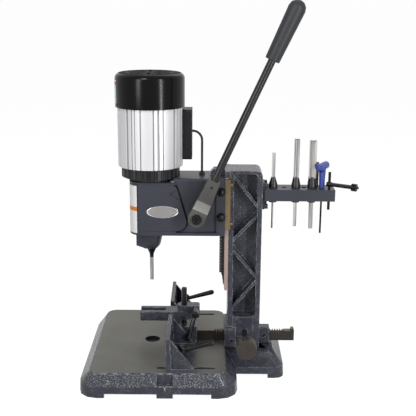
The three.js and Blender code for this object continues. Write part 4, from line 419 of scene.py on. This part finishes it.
hammered_enamel = hammered("hammered_enamel", 0.16)
# Painted glints: the same enamel with many more light flecks, for the skirt slopes that face the front lamps.
painted_glint_enamel = hammered("painted_glint_enamel", 0.60, evenness=0.55, size=460.0, depth=0.0015)
ground_table = mottled("ground_table", (0.120, 0.118, 0.102), 0.38, spread=0.75, size=6.0,
                       roughness_spread=0.16, metallic=0.55, grain_size=60.0, grain_depth=0.00004,
                       grain_stretch=(1, 40, 1))
# Painted shade: a near-black finish for walls and gaps that lie in shade, such as the chip hole and the
# door's gap.
painted_shade_black = mottled("painted_shade_black", (0.006, 0.006, 0.006), 0.6, spread=0.5, specular=0.1)
spindle_low, spindle_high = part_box("motor_shaft")
spindle_x = (spindle_low.x + spindle_high.x) / 2
table_z = 0.057
ground_depth = 0.0004
skirt_end_x = spindle_x + 0.17
hole_reach = 0.022


def is_table(spot, normal):
    return normal.z > 0.98 and abs(spot.z - table_z) < ground_depth


def is_glint_painted_skirt(spot, normal):
    return 0.2 < normal.z < 0.95 and normal.y < -0.25 and spot.x < skirt_end_x


def is_shade_painted_hole_wall(spot, normal):
    return abs(normal.z) < 0.5 and math.hypot(spot.x - spindle_x, spot.y) < hole_reach


base = dress("base_casting", "base", "frame", hammered_enamel, width=0.0022, segments=3)
paint_faces(base, ground_table, is_table)
# Painted glints: the front-facing slopes of the skirt get the densely flecked enamel.
paint_faces(base, painted_glint_enamel, is_glint_painted_skirt)
# Painted shade: the walls of the chip hole under the chisel are painted near-black.
paint_faces(base, painted_shade_black, is_shade_painted_hole_wall)


# Column: a ribbed casting in the same enamel, with the ground way and the toothed rack on its front.
# The way is steel-grey with a pinkish oil bloom, and the rack is dark with grease between its teeth.
way_bloom = mottled("way_bloom", (0.34, 0.245, 0.215), 0.42, spread=0.22, size=14.0, stretch=(1, 1, 0.25),
                    metallic=0.35, grain_size=70.0, grain_stretch=(30, 30, 1), grain_depth=0.00005)
greased_rack = mottled("greased_rack", (0.020, 0.015, 0.013), 0.36, spread=0.5, size=60.0, metallic=0.4)
black_screws = mottled("black_screws", (0.0035, 0.0035, 0.004), 0.24, size=80.0, specular=0.2)

dress("column_casting", "column", "frame", hammered_enamel, width=0.0016, segments=2)
dress("column_way", "way", "frame", way_bloom, width=0.0006)
dress("head_rack", "upright_rack", "frame", greased_rack, width=0.0003, segments=1)
for node, name in [("stop_bolt", "stop_bolt_head"), ("guide_screw_rear", "rear_guide_screw"),
                   ("guide_screw_front", "front_guide_screw")]:
    dress(node, name, "frame", black_screws, width=0.0004)


# Head: a smooth cast box in slate-grey enamel that carries the motor, the gear and the chisel.
# Bronze keepers hook it to the way, and two domed screws take up the play.
smooth_enamel = mottled("smooth_enamel", (0.034, 0.036, 0.048), 0.36, spread=0.14, size=12.0,
                        roughness_spread=0.08, coat=0.12, coat_roughness=0.15, specular=0.2,
                        grain_size=260.0, grain_depth=0.00016)
keeper_bronze = mottled("keeper_bronze", (0.135, 0.100, 0.050), 0.48, spread=0.4, size=50.0,
                        stretch=(1, 1, 0.3), metallic=0.6)
# Painted reflections: strong light and dark streaks stretched along the height stand in for what ground steel
# reflects.
bright_steel = mottled("bright_steel", (0.34, 0.335, 0.325), 0.22, spread=1.3, size=130.0,
                       stretch=(1, 1, 0.06), metallic=1.0, grain_size=200.0, grain_depth=0.000004)
keeper_screw_length = 0.0029

dress("head_casting", "head", "head", smooth_enamel, width=0.0018, segments=3)
for side in ("near", "far"):
    keeper = dress(f"keeper_{side}", f"{side}_keeper", "head", keeper_bronze, width=0.0006)
    screw_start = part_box(f"keeper_{side}")[1].x - keeper_screw_length
    paint_faces(keeper, black_screws, lambda spot, normal: spot.x > screw_start)
    dress(f"shaft_bush_{side}", f"{side}_bush", "head", keeper_bronze, width=0.0004)
for level in ("upper", "lower"):
    dress(f"gib_screw_{level}", f"{level}_gib_screw", "head", black_screws, width=0.0005)
dress("door_hinge_pin", "hinge_pin", "head", bright_steel, width=0.0004)
door = dress("chuck_door", "door", "door", smooth_enamel, width=0.0022, segments=3)
door_low, door_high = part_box("chuck_door")


# Painted shadow: the door's rear and bottom edge faces are painted near-black for the dark line along its
# gap.
def is_shadow_painted_door_edge(spot, normal):
    return normal.y > -0.8 and (normal.x > 0.4 or normal.z < -0.4)


paint_faces(door, painted_shade_black, is_shadow_painted_door_edge)

# Painted shadow: a black strip on the head along the door's gap, where only shade falls.
shadow_strip_width = 0.0026
shadow_strip_back_y = -0.0500
shadow_strip_front_y = -0.0528
shadow_strip_length_below = 0.070
shadow_strip_low_bend = 0.024
shadow_strip_high_bend = 0.012
shadow_strip_lean = 0.002


def bend_points(start, pull, end, steps=6):
    return [start.lerp(pull, i / steps).lerp(pull.lerp(end, i / steps), i / steps)
            for i in range(steps + 1)]


def door_shadow_strip():
    """A black strip of painted shadow that follows the bottom and the rear edge of the door, where the gap's
    dark line shows.
    """
    x, z = door_high.x, door_low.z
    top_x, top_z = door_high.x - shadow_strip_low_bend, door_high.z
    low_bend = bend_points(Vector((x - shadow_strip_low_bend, z)), Vector((x - shadow_strip_lean, z)),
                           Vector((x, z + shadow_strip_low_bend)))
    high_bend = bend_points(Vector((top_x + shadow_strip_lean, top_z - shadow_strip_high_bend)), Vector((top_x, top_z)),
                            Vector((top_x - shadow_strip_high_bend, top_z)))
    path = [Vector((x - shadow_strip_length_below, z)), *low_bend, *high_bend]
    shape = bmesh.new()
    rows = []
    for i, spot in enumerate(path):
        along = (path[min(i + 1, len(path) - 1)] - path[max(i - 1, 0)]).normalized()
        edge = spot + Vector((along.y, -along.x)) * shadow_strip_width
        corners = ((spot, shadow_strip_back_y), (spot, shadow_strip_front_y), (edge, shadow_strip_front_y), (edge, shadow_strip_back_y))
        rows.append([shape.verts.new((place.x, y, place.y)) for place, y in corners])
    for low, high in zip(rows, rows[1:]):
        for i in range(4):
            shape.faces.new((low[i], low[(i + 1) % 4], high[(i + 1) % 4], high[i]))
    shape.faces.new(rows[0])
    shape.faces.new(rows[-1])
    return shape


# Not a piece of the machine: it covers the gap that a missing corner of the CAD head casting leaves here
web_centre = (spindle_x + 0.0565, 0, 0.4774)
web_size = (0.0130, 0.084, 0.0046)
seat_web = bmesh.new()
bmesh.ops.create_cube(seat_web, size=1, matrix=Matrix.Translation(web_centre)
                      @ Matrix.Diagonal((*web_size, 1)))


def piece_from(shape, name, sharp=40):
    bmesh.ops.recalc_face_normals(shape, faces=shape.faces)
    for face in shape.faces:
        face.smooth = True
    mesh = bpy.data.meshes.new(name)
    shape.to_mesh(mesh)
    shape.free()
    mesh.set_sharp_from_angle(angle=math.radians(sharp))
    return link(name, mesh)


def add_piece(piece, body, slot, *materials):
    for material in materials:
        piece.data.materials.append(material)
    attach(piece, body)
    return piece


add_piece(piece_from(seat_web, "seat_web"), "head", "head_paint", smooth_enamel)
# The painted shadow strip along the door's gap.
add_piece(piece_from(door_shadow_strip(), "door_shadow_strip"), "head", "black_rubber", painted_shade_black)


# Badge and label: a bare oval plate on the door, and a bare white label round the head's front corner.
# Both are glued on; the plate has a raised bright rim, and the label a plain orange band.
def oval_plate(name, centre, half_width, half_height, steps, sides=64):
    """An oval plate facing -Y; each step gives the share kept of the half sizes, and how proud it is."""
    shape = bmesh.new()
    rings = []
    turns = [2 * math.pi * i / sides for i in range(sides)]
    for share_kept, proud in steps:
        rings.append([shape.verts.new((centre.x + half_width * share_kept * math.cos(turn), centre.y - proud,
                                       centre.z + half_height * share_kept * math.sin(turn)))
                      for turn in turns])
    for outer, inner in zip(rings, rings[1:]):
        for i in range(sides):
            shape.faces.new((outer[i], outer[(i + 1) % sides], inner[(i + 1) % sides], inner[i]))
    shape.faces.new(rings[-1])
    shape.faces.new(list(reversed(rings[0])))
    return piece_from(shape, name)


def wrapped_label(name, path, heights, thickness):
    """A thin sheet that follows a level path of (place, outward) pairs and has an edge at each height."""
    shape = bmesh.new()
    rows = []
    for height in heights:
        outer = [shape.verts.new((*(place + outward * thickness), height)) for place, outward in path]
        inner = [shape.verts.new((*place, height)) for place, outward in reversed(path)]
        rows.append(outer + inner)
    count = len(rows[0])
    for low, high in zip(rows, rows[1:]):
        for i in range(count):
            j = (i + 1) % count
            shape.faces.new((low[i], low[j], high[j], high[i]))
    shape.faces.new(rows[0])
    shape.faces.new(rows[-1])
    return piece_from(shape, name)


badge_silver = mottled("badge_silver", (0.24, 0.23, 0.225), 0.42, spread=0.12, metallic=0.6, grain_size=500.0,
                       grain_stretch=(1, 1, 30), grain_depth=0.00002)
badge_rim = mottled("badge_rim", (0.58, 0.58, 0.58), 0.22, spread=0.1, metallic=0.9)
white_label = mottled("white_label", (0.78, 0.78, 0.78), 0.5, spread=0.06, grain_size=800.0)
orange_label = mottled("orange_label", (0.62, 0.19, 0.012), 0.5, spread=0.06, grain_size=800.0)

badge_forward = 0.0307
badge_z = 0.405
badge_centre = Vector((spindle_x + badge_forward, door_low.y, badge_z))
badge_half_width = 0.0375
badge_half_height = 0.0145
badge_steps = [(1.0, 0.0), (1.0, 0.0006), (0.975, 0.0010), (0.945, 0.0010), (0.925, 0.0006)]
rim_share = 0.85
badge = oval_plate("badge", badge_centre, badge_half_width, badge_half_height, badge_steps)
add_piece(badge, "door", None, badge_silver)
paint_faces(badge, badge_rim, lambda spot, normal: ((spot.x - badge_centre.x) / badge_half_width) ** 2
            + ((spot.z - badge_centre.z) / badge_half_height) ** 2 > rim_share)

label_thickness = 0.0003


def arc_path(centre, radius, start, end, steps):
    """Pairs of place and outward direction along a level arc, in degrees from the front to the near side."""
    pairs = []
    for step in range(steps + 1):
        turn = math.radians(start + (end - start) * step / steps)
        outward = Vector((-math.cos(turn), -math.sin(turn)))
        pairs.append((centre + outward * radius, outward))
    return pairs


def add_label(name, path, low, band_low, band_high, high):
    label = wrapped_label(name, path, [low, band_low, band_high, high], label_thickness)
    add_piece(label, "head", None, white_label)
    paint_faces(label, orange_label,
                lambda spot, normal: band_low < spot.z < band_high and abs(normal.z) < 0.5)


nose_round = 0.034
nose_front = spindle_x - 0.049
nose_side = 0.058
label_far_y = 0.020
nose_centre = Vector((nose_front + nose_round, nose_round - nose_side))
label_path = [(Vector((nose_front, label_far_y)), Vector((-1, 0))),
              *arc_path(nose_centre, nose_round, 0, 64, 8)]
add_label("head_label", label_path, low=0.352, band_low=0.406, band_high=0.416, high=0.467)


# Motor: an extruded aluminium body between a ribbed black end bell and a drawn, gloss-black fan cover.
# The capacitor box stands behind it, and the stator, rotor, bearings and fan are inside.
def turned_mesh(name, profile, sides, centre):
    """A turned piece from [radius, height] pairs; a radius of zero closes it on the axis."""
    shape = bmesh.new()
    rings = []
    turns = [2 * math.pi * i / sides for i in range(sides)]
    for radius, height in profile:
        if radius == 0:
            rings.append([shape.verts.new((0, 0, height))])
        else:
            rings.append([shape.verts.new((radius * math.cos(turn), radius * math.sin(turn), height))
                          for turn in turns])
    for low, high in zip(rings, rings[1:]):
        for i in range(sides):
            j = (i + 1) % sides
            corners = [low[i % len(low)], low[j % len(low)], high[j % len(high)], high[i % len(high)]]
            unique = list(dict.fromkeys(corners))
            if len(unique) > 2:
                shape.faces.new(unique)
    piece = piece_from(shape, name)
    piece.data.transform(Matrix.Translation(centre))
    return piece


gloss_black = mottled("gloss_black", (0.0010, 0.0010, 0.0012), 0.17, spread=0.2, size=8.0,
                      roughness_spread=0.03, grain_size=40.0, grain_depth=0.000002, specular=0.14)
dusty_black = mottled("dusty_black", (0.005, 0.005, 0.0055), 0.5, spread=0.5, size=25.0, specular=0.03)
cast_black = mottled("cast_black", (0.006, 0.006, 0.007), 0.34, grain_size=300.0, grain_depth=0.0002,
                     specular=0.3)
satin_aluminium = mottled("satin_aluminium", (0.60, 0.60, 0.615), 0.44, spread=0.10, size=16.0,
                          metallic=0.5, stretch=(1, 1, 0.1), grain_size=160.0, grain_stretch=(6, 6, 0.2),
                          grain_depth=0.00006)
copper_winding = mottled("copper_winding", (0.28, 0.10, 0.045), 0.4, metallic=0.8, size=90.0)
box_plastic = mottled("box_plastic", (0.004, 0.004, 0.005), 0.36, grain_size=700.0, specular=0.2)
fan_plastic = mottled("fan_plastic", (0.03, 0.03, 0.032), 0.5)

cover_low, cover_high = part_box("motor_fan_cover")
cover_radius = (cover_high.y - cover_low.y) / 2
cover_round = 0.014
cover_wall = 0.0035
ring_inner = cover_radius * 0.62
ring_width = 0.005
ring_depth = 0.0016
slot_length = ring_inner * 0.55
slot_half = 0.003
slot_count = 10
cover_sides = 96
cover_round_steps = 8


def cover_arc(radius):
    centre_radius = cover_radius - cover_round
    centre_z = cover_high.z - cover_round
    turns = [math.pi / 2 * i / cover_round_steps for i in range(cover_round_steps + 1)]
    return [(centre_radius + radius * math.cos(turn), centre_z + radius * math.sin(turn)) for turn in turns]


def slot_cutter():
    shape = bmesh.new()
    middle = ring_inner - slot_length / 2 - cover_wall
    for i in range(slot_count):
        turn = Matrix.Rotation((i + 0.5) * 2 * math.pi / slot_count, 4, "Z")
        size = Matrix.Diagonal((slot_length, 2 * slot_half, 4 * cover_wall, 1))
        bmesh.ops.create_cube(shape, size=1, matrix=Matrix.Translation((spindle_x, 0, cover_high.z)) @ turn
                              @ Matrix.Translation((middle, 0, 0)) @ size)
    return piece_from(shape, "slot_cutter")


def fan_cover():
    top = cover_high.z
    bottom = cover_low.z
    inside = top - cover_wall
    ring_edge = 0.0008
    ring_outer = ring_inner + ring_width
    profile = [(0, inside), *reversed(cover_arc(cover_round - cover_wall)),
               (cover_radius - cover_wall, bottom), (cover_radius, bottom), *cover_arc(cover_round),
               (ring_outer, top), (ring_outer - ring_edge, top - ring_depth),
               (ring_inner + ring_edge, top - ring_depth), (ring_inner, top), (0, top)]
    cover = turned_mesh("fan_cover", profile, cover_sides, (spindle_x, 0, 0))
    cutter = slot_cutter()
    cut = cover.modifiers.new("slots", "BOOLEAN")
    cut.object = cutter
    cut.solver = "EXACT"
    finished_mesh(cover)
    bpy.data.objects.remove(cutter)
    cover.data.set_sharp_from_angle(angle=math.radians(40))
    return cover


cover = add_piece(fan_cover(), "head", "black_paint", gloss_black)
paint_faces(cover, dusty_black,
            lambda spot, normal: normal.z > 0.9 and spot.z > cover_high.z - 2 * ring_depth)
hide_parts("motor_fan_cover")

cover_screw_rise = 0.0075
cover_screw_profile = [(0, -0.002), (0.0030, -0.002), (0.0030, 0.0004), (0.0022, 0.0011), (0, 0.0013)]
cover_screw_sides = 20
for turn in (-63, 57, 177):
    outward = Matrix.Rotation(math.radians(turn), 4, "Z") @ Vector((0, -1, 0))
    screw = turned_mesh(f"cover_screw_{turn % 360}", cover_screw_profile, cover_screw_sides, (0, 0, 0))
    place = Vector((spindle_x, 0, cover_low.z + cover_screw_rise)) + outward * cover_radius
    screw.data.transform(Matrix.Translation(place) @ outward.to_track_quat("Z", "Y").to_matrix().to_4x4())
    add_piece(screw, "head", "black_steel", black_screws)
cover_label_path = arc_path(Vector((spindle_x, 0)), cover_radius, -22, 22, 7)
add_label("cover_label", cover_label_path, low=0.657, band_low=0.699, band_high=0.707, high=0.7105)

barrel = dress("motor_body", "motor_barrel", "head", satin_aluminium, width=0.0005)
# Painted shade: the floors of the body's grooves are a darker grey than its lands.
groove_painted_shade = mottled("groove_painted_shade", (0.30, 0.30, 0.31), 0.5, spread=0.2, size=16.0, metallic=0.4,
                           stretch=(1, 1, 0.1))
barrel_low, barrel_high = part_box("motor_body")
land_depth = 0.0018
groove_reach = (barrel_high.x - barrel_low.x) / 2 - land_depth
paint_faces(barrel, groove_painted_shade, lambda spot, normal: abs(normal.z) < 0.1
            and math.hypot(spot.x - spindle_x, spot.y) < groove_reach)
dress("motor_end_bell", "end_bell", "head", cast_black, width=0.0005)
dress("capacitor_box", "capacitor_case", "head", box_plastic, width=0.0015)
dress("cable_gland", "head_gland", "head", box_plastic, width=0.0004)
for node, material in [("motor_stator", copper_winding), ("bearing_lower", bright_steel),
                       ("bearing_upper", bright_steel), ("motor_shaft", bright_steel),
                       ("cooling_fan", fan_plastic)]:
    nodes[node].data.materials.clear()
    nodes[node].data.materials.append(material)


# Spindle tooling: a blackened keyed chuck, a bright hollow chisel in its bushing and the twisted auger.
# The chisel's shoulder is dark from the forge, and its blade is ground bright.
dark_steel = mottled("dark_steel", (0.035, 0.034, 0.033), 0.30, metallic=0.8, size=50.0)
dress("drill_chuck", "chuck", "spindle", dark_steel, width=0.0005)
dress("auger_bit", "auger", "spindle", bright_steel, width=0.0001, segments=1)
chisel = dress("hollow_chisel", "chisel", "head", bright_steel, width=0.0003, segments=1)
shoulder_low = 0.275
paint_faces(chisel, black_screws, lambda spot, normal: spot.z > shoulder_low)
dress("chisel_bushing", "bushing", "head", bright_steel, width=0.0004)
dress("chisel_set_screw", "set_screw", "head", black_screws, width=0.0004)


# Switch: a black box with a red stop paddle, fixed to the far side of the head.
# The paddle swings on a knuckle along its top edge.
red_plastic = mottled("red_plastic", (0.42, 0.012, 0.012), 0.3, spread=0.08)
dress("switch_box", "switch_case", "head", box_plastic, width=0.0012)
dress("switch_paddle", "paddle", "stop_paddle", red_plastic, width=0.001)


# Feed handle: a forged arm clamped on the gear's shaft, with a blackened rod and a moulded rubber grip.
# The sector gear inside the head rolls on the upright rack.
forged_steel = mottled("forged_steel", (0.062, 0.060, 0.057), 0.5, spread=0.3, size=30.0, metallic=0.55,
                       grain_size=220.0, grain_depth=0.0002)
black_rod = mottled("black_rod", (0.002, 0.002, 0.0022), 0.27, size=40.0, roughness_spread=0.02,
                    grain_size=60.0, grain_depth=0.000001, specular=0.36)
grip_rubber = mottled("grip_rubber", (0.020, 0.0215, 0.025), 0.44, spread=0.5, size=30.0, grain_size=400.0,
                      grain_depth=0.00012, specular=0.3)
dress("feed_gear", "sector_gear", "handle", greased_rack, width=0.0003, segments=1)
dress("feed_shaft", "gear_shaft", "handle", bright_steel, width=0.0006)
arm = dress("handle_arm", "arm", "handle", forged_steel, width=0.0012)
hub_low, hub_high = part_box("handle_hub_screw")
hub_centre = (hub_low + hub_high) / 2
handle_lean = math.radians(24.6)
along_arm = Vector((math.sin(handle_lean), 0, math.cos(handle_lean)))


def cut_across(piece, point, direction):
    """Gives the mesh an edge loop where a plane meets it, so that its faces can have their own finish."""
    shape = bmesh.new()
    shape.from_mesh(piece.data)
    bmesh.ops.bisect_plane(shape, geom=shape.verts[:] + shape.edges[:] + shape.faces[:], dist=0.00001,
                           plane_co=point, plane_no=direction)
    shape.to_mesh(piece.data)
    shape.free()


machined_start = 0.0195
machined_end = 0.0425
for reach in (machined_start, machined_end):
    cut_across(arm, hub_centre + along_arm * reach, along_arm)
machined_arm = mottled("machined_arm", (0.20, 0.198, 0.192), 0.36, spread=0.3, size=30.0, metallic=0.7,
                       grain_size=300.0, grain_depth=0.00006)
paint_faces(arm, machined_arm,
            lambda spot, normal: machined_start < (spot - hub_centre).dot(along_arm) < machined_end)


def socket_screw(name, centre, outward, head_radius, head_length, key_radius, key_depth):
    """A cap screw head with a hexagon socket, its front face at the centre point."""
    shape = bmesh.new()
    sides = 36
    edge_share = 0.08
    edge = head_radius * edge_share

    def ring(radius, height, six_sided=False):
        made = []
        for i in range(sides):
            angle = 2 * math.pi * i / sides
            reach = radius
            if six_sided:
                reach = radius * math.cos(math.pi / 6) / math.cos((angle % (math.pi / 3)) - math.pi / 6)
            made.append(shape.verts.new((reach * math.cos(angle), reach * math.sin(angle), height)))
        return made

    rings = [ring(head_radius, -head_length), ring(head_radius, -edge), ring(head_radius - edge, 0),
             ring(key_radius * 1.12, 0), ring(key_radius, -key_radius * 0.1, True),
             ring(key_radius, -key_depth, True)]
    for low, high in zip(rings, rings[1:]):
        for i in range(sides):
            shape.faces.new((low[i], low[(i + 1) % sides], high[(i + 1) % sides], high[i]))
    shape.faces.new(rings[0])
    shape.faces.new(rings[-1])
    screw = piece_from(shape, name, 30)
    screw.data.transform(Matrix.Translation(centre) @ outward.to_track_quat("Z", "Y").to_matrix().to_4x4())
    return screw


hub_radius = (hub_high.x - hub_low.x) / 2
hub_front = Vector((hub_centre.x, hub_low.y, hub_centre.z))
hub_screw = socket_screw("hub_screw", hub_front, Vector((0, -1, 0)), hub_radius, head_length=0.0073,
                         key_radius=0.0058, key_depth=0.005)
add_piece(hub_screw, "handle", "black_steel", black_screws)
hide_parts("handle_hub_screw")


bar_sides = 40


def leaning_bar(node, name, lean, end_round):
    """A round bar as long and as thick as its CAD node, leaning in the plane of the photograph."""
    low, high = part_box(node)
    radius = (high.y - low.y) / 2
    length = (high.z - low.z - 2 * radius * math.sin(lean)) / math.cos(lean)
    half = length / 2
    profile = [(0, -half), (radius - end_round, -half), (radius, end_round - half),
               (radius, half - end_round), (radius - end_round, half), (0, half)]
    bar = turned_mesh(name, profile, bar_sides, (0, 0, 0))
    bar.data.transform(Matrix.Translation((low + high) / 2) @ Matrix.Rotation(lean, 4, "Y"))
    return bar


rod = add_piece(leaning_bar("handle_rod", "rod", handle_lean, end_round=0.0006), "handle", "black_steel",
                black_rod)
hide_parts("handle_rod")
dress("handle_grip", "grip", "handle", grip_rubber, width=0.0008)


# Fence: a hammered casting on the ground table, drawn by a toothed bar and locked by two levered studs.
# Its post carries the hold-down fork, which its own lever clamps.
lever_black = mottled("lever_black", (0.003, 0.003, 0.0035), 0.2, grain_size=300.0, grain_depth=0.0001,
                      specular=0.25)
dress("fence_casting", "fence_plate", "fence", hammered_enamel, width=0.0012)
rack_bar = dress("fence_bar", "rack_bar", "fence", greased_rack, width=0.0003, segments=1)
# Painted highlight: the top faces of the toothed bar get a light tan steel.
painted_highlight_steel = mottled("painted_highlight_steel", (0.13, 0.10, 0.068), 0.42, metallic=0.5, spread=0.6, size=60.0)
paint_faces(rack_bar, painted_highlight_steel, lambda spot, normal: normal.z > 0.9)
dress("hold_down_post", "post", "fence", black_rod, width=0.0006)
for side in ("near", "far"):
    dress(f"lock_stud_{side}", f"{side}_stud", "fence", black_screws, width=0.0005)
    dress(f"lock_lever_{side}", f"{side}_clamp_lever", f"{side}_lever", lever_black,
          width=0.0008)
dress("hold_down_fork", "fork", "hold_down", hammered_enamel, width=0.0012)
dress("hold_down_lever", "fork_lever", "clamp_lever", lever_black, width=0.0008)


# Fence knob: a knurled steel knob, dark from oil, on the pinion's shaft.
knob_steel = mottled("knob_steel", (0.036, 0.031, 0.027), 0.34, metallic=0.4, spread=0.6, size=90.0)
dress("knob_shaft", "pinion_shaft", "knob", dark_steel, width=0.0003, segments=1)
knob = dress("fence_knob", "knob", "knob", knob_steel, width=0.0008)
oiled_face = mottled("oiled_face", (0.032, 0.025, 0.020), 0.4, metallic=0.4, spread=0.5, size=70.0)
paint_faces(knob, oiled_face, lambda spot, normal: normal.y < -0.98)
# Painted highlight: the sloped rim round the knob's front face.
paint_faces(knob, painted_highlight_steel, lambda spot, normal: -0.95 < normal.y < -0.3)


# Tool holder: a folded channel bolted behind the column, with chisels, keys and a stick hung in its holes.
blue_plastic = mottled("blue_plastic", (0.030, 0.055, 0.27), 0.36, spread=0.12)
pale_wood = mottled("pale_wood", (0.30, 0.24, 0.14), 0.6, spread=0.35, size=40.0, stretch=(1, 1, 0.12))
dress("tool_holder", "holder", "frame", smooth_enamel, width=0.0008)
# Painted reflections: strong light and dark streaks stretched along the height on the stored chisels' steel.
polished_painted_reflections = mottled("polished_painted_reflections", (0.42, 0.41, 0.40), 0.16, spread=1.9, size=170.0,
                         stretch=(1, 1, 0.03), metallic=1.0, grain_depth=0.000004)
shelf_z = 0.454
shoulder_drop = 0.04
shoulder_rise = 0.027 * 0.95
for size in ("small", "medium", "large"):
    stored = dress(f"stored_chisel_{size}", f"{size}_stored_chisel", f"{size}_chisel",
                   polished_painted_reflections, width=0.0004, segments=1)
    paint_faces(stored, dark_steel, lambda spot, normal: -shoulder_drop < spot.z - shelf_z < shoulder_rise)
key_handle = dress("hex_key_handle", "key_handle", "hex_key", blue_plastic, width=0.0012)
key_foot_height = 0.006
key_swell = 0.0014
key_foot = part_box("hex_key_handle")[0].z + key_foot_height
for vertex in key_handle.data.vertices:
    if vertex.co.z > key_foot:
        vertex.co += vertex.normal * key_swell
dress("hex_key_shank", "key_shank", "hex_key", black_screws, width=0.0003, segments=1)
dress("chuck_key", "key_for_the_chuck", "key_for_chuck", black_screws, width=0.0004,
      segments=1)
dress("wooden_stick", "stick_of_wood", "stick", pale_wood, width=0.0004)


# Studio: a wide pale floor, a strip light to the right, a soft light to the left, one above and one behind.
# The floor and the world show white to the camera and in reflections, and the floor keeps a faint shadow.
def white_to_camera(tree, dim, white_strength):
    paths = node_in(tree, "ShaderNodeLightPath")
    seen = node_in(tree, "ShaderNodeMath", {"operation": "MAXIMUM"})
    wire(tree, paths.outputs["Is Camera Ray"], seen.inputs[0])
    wire(tree, paths.outputs["Is Transmission Ray"], seen.inputs[1])
    either = node_in(tree, "ShaderNodeMath", {"operation": "MAXIMUM"})
    wire(tree, seen.outputs[0], either.inputs[0])
    wire(tree, paths.outputs["Is Glossy Ray"], either.inputs[1])
    strength = node_in(tree, "ShaderNodeMapRange", To_Min=dim, To_Max=white_strength, Value=either.outputs[0])
    return strength.outputs[0]


floor_z = -0.0002
floor_shape = bmesh.new()
for corner in ((-30, -30), (30, -30), (30, 60), (-30, 60)):
    floor_shape.verts.new((*corner, floor_z))
floor_shape.faces.new(floor_shape.verts)
floor_mesh = bpy.data.meshes.new("floor")
floor_shape.to_mesh(floor_mesh)
floor_shape.free()
floor = link("floor", floor_mesh)
floor_finish, floor_tree, floor_shader = new_finish("pale_floor", (0.20, 0.20, 0.20), 0.9, specular=0.0)
wire(floor_tree, white_to_camera(floor_tree, 0.10, 0.955), floor_shader.inputs["Emission Strength"])
floor_shader.inputs["Emission Color"].default_value = (1, 1, 1, 1)
floor.data.materials.append(floor_finish)

world = bpy.data.worlds.new("studio")
world.use_nodes = True
backdrop = world.node_tree.nodes["Background"]
backdrop.inputs["Color"].default_value = (1, 1, 1, 1)
wire(world.node_tree, white_to_camera(world.node_tree, 0.14, 0.985), backdrop.inputs["Strength"])
bpy.context.scene.world = world


def soft_light(name, place, target, width, height, power):
    light = bpy.data.lights.new(name, "AREA")
    light.shape = "RECTANGLE"
    light.size = width
    light.size_y = height
    light.energy = power
    lamp = bpy.data.objects.new(name, light)
    aim = Vector(target) - Vector(place)
    lamp.matrix_world = Matrix.Translation(place) @ aim.to_track_quat("-Z", "Y").to_matrix().to_4x4()
    bpy.context.scene.collection.objects.link(lamp)
    return lamp


soft_light("strip_right", (1.05, -1.45, 0.85), (-0.10, 0, 0.50), 0.15, 1.6, 26)
soft_light("soft_left", (-1.45, -2.00, 1.15), (-0.10, 0, 0.45), 0.50, 1.4, 24)
soft_light("overhead", (-0.55, -1.25, 1.75), (-0.1, 0, 0.2), 0.36, 0.36, 10)
soft_light("behind", (0.35, 1.4, 2.5), (-0.05, 0, 0.4), 1.8, 1.8, 12)

bpy.context.scene.view_settings.view_transform = "Standard"
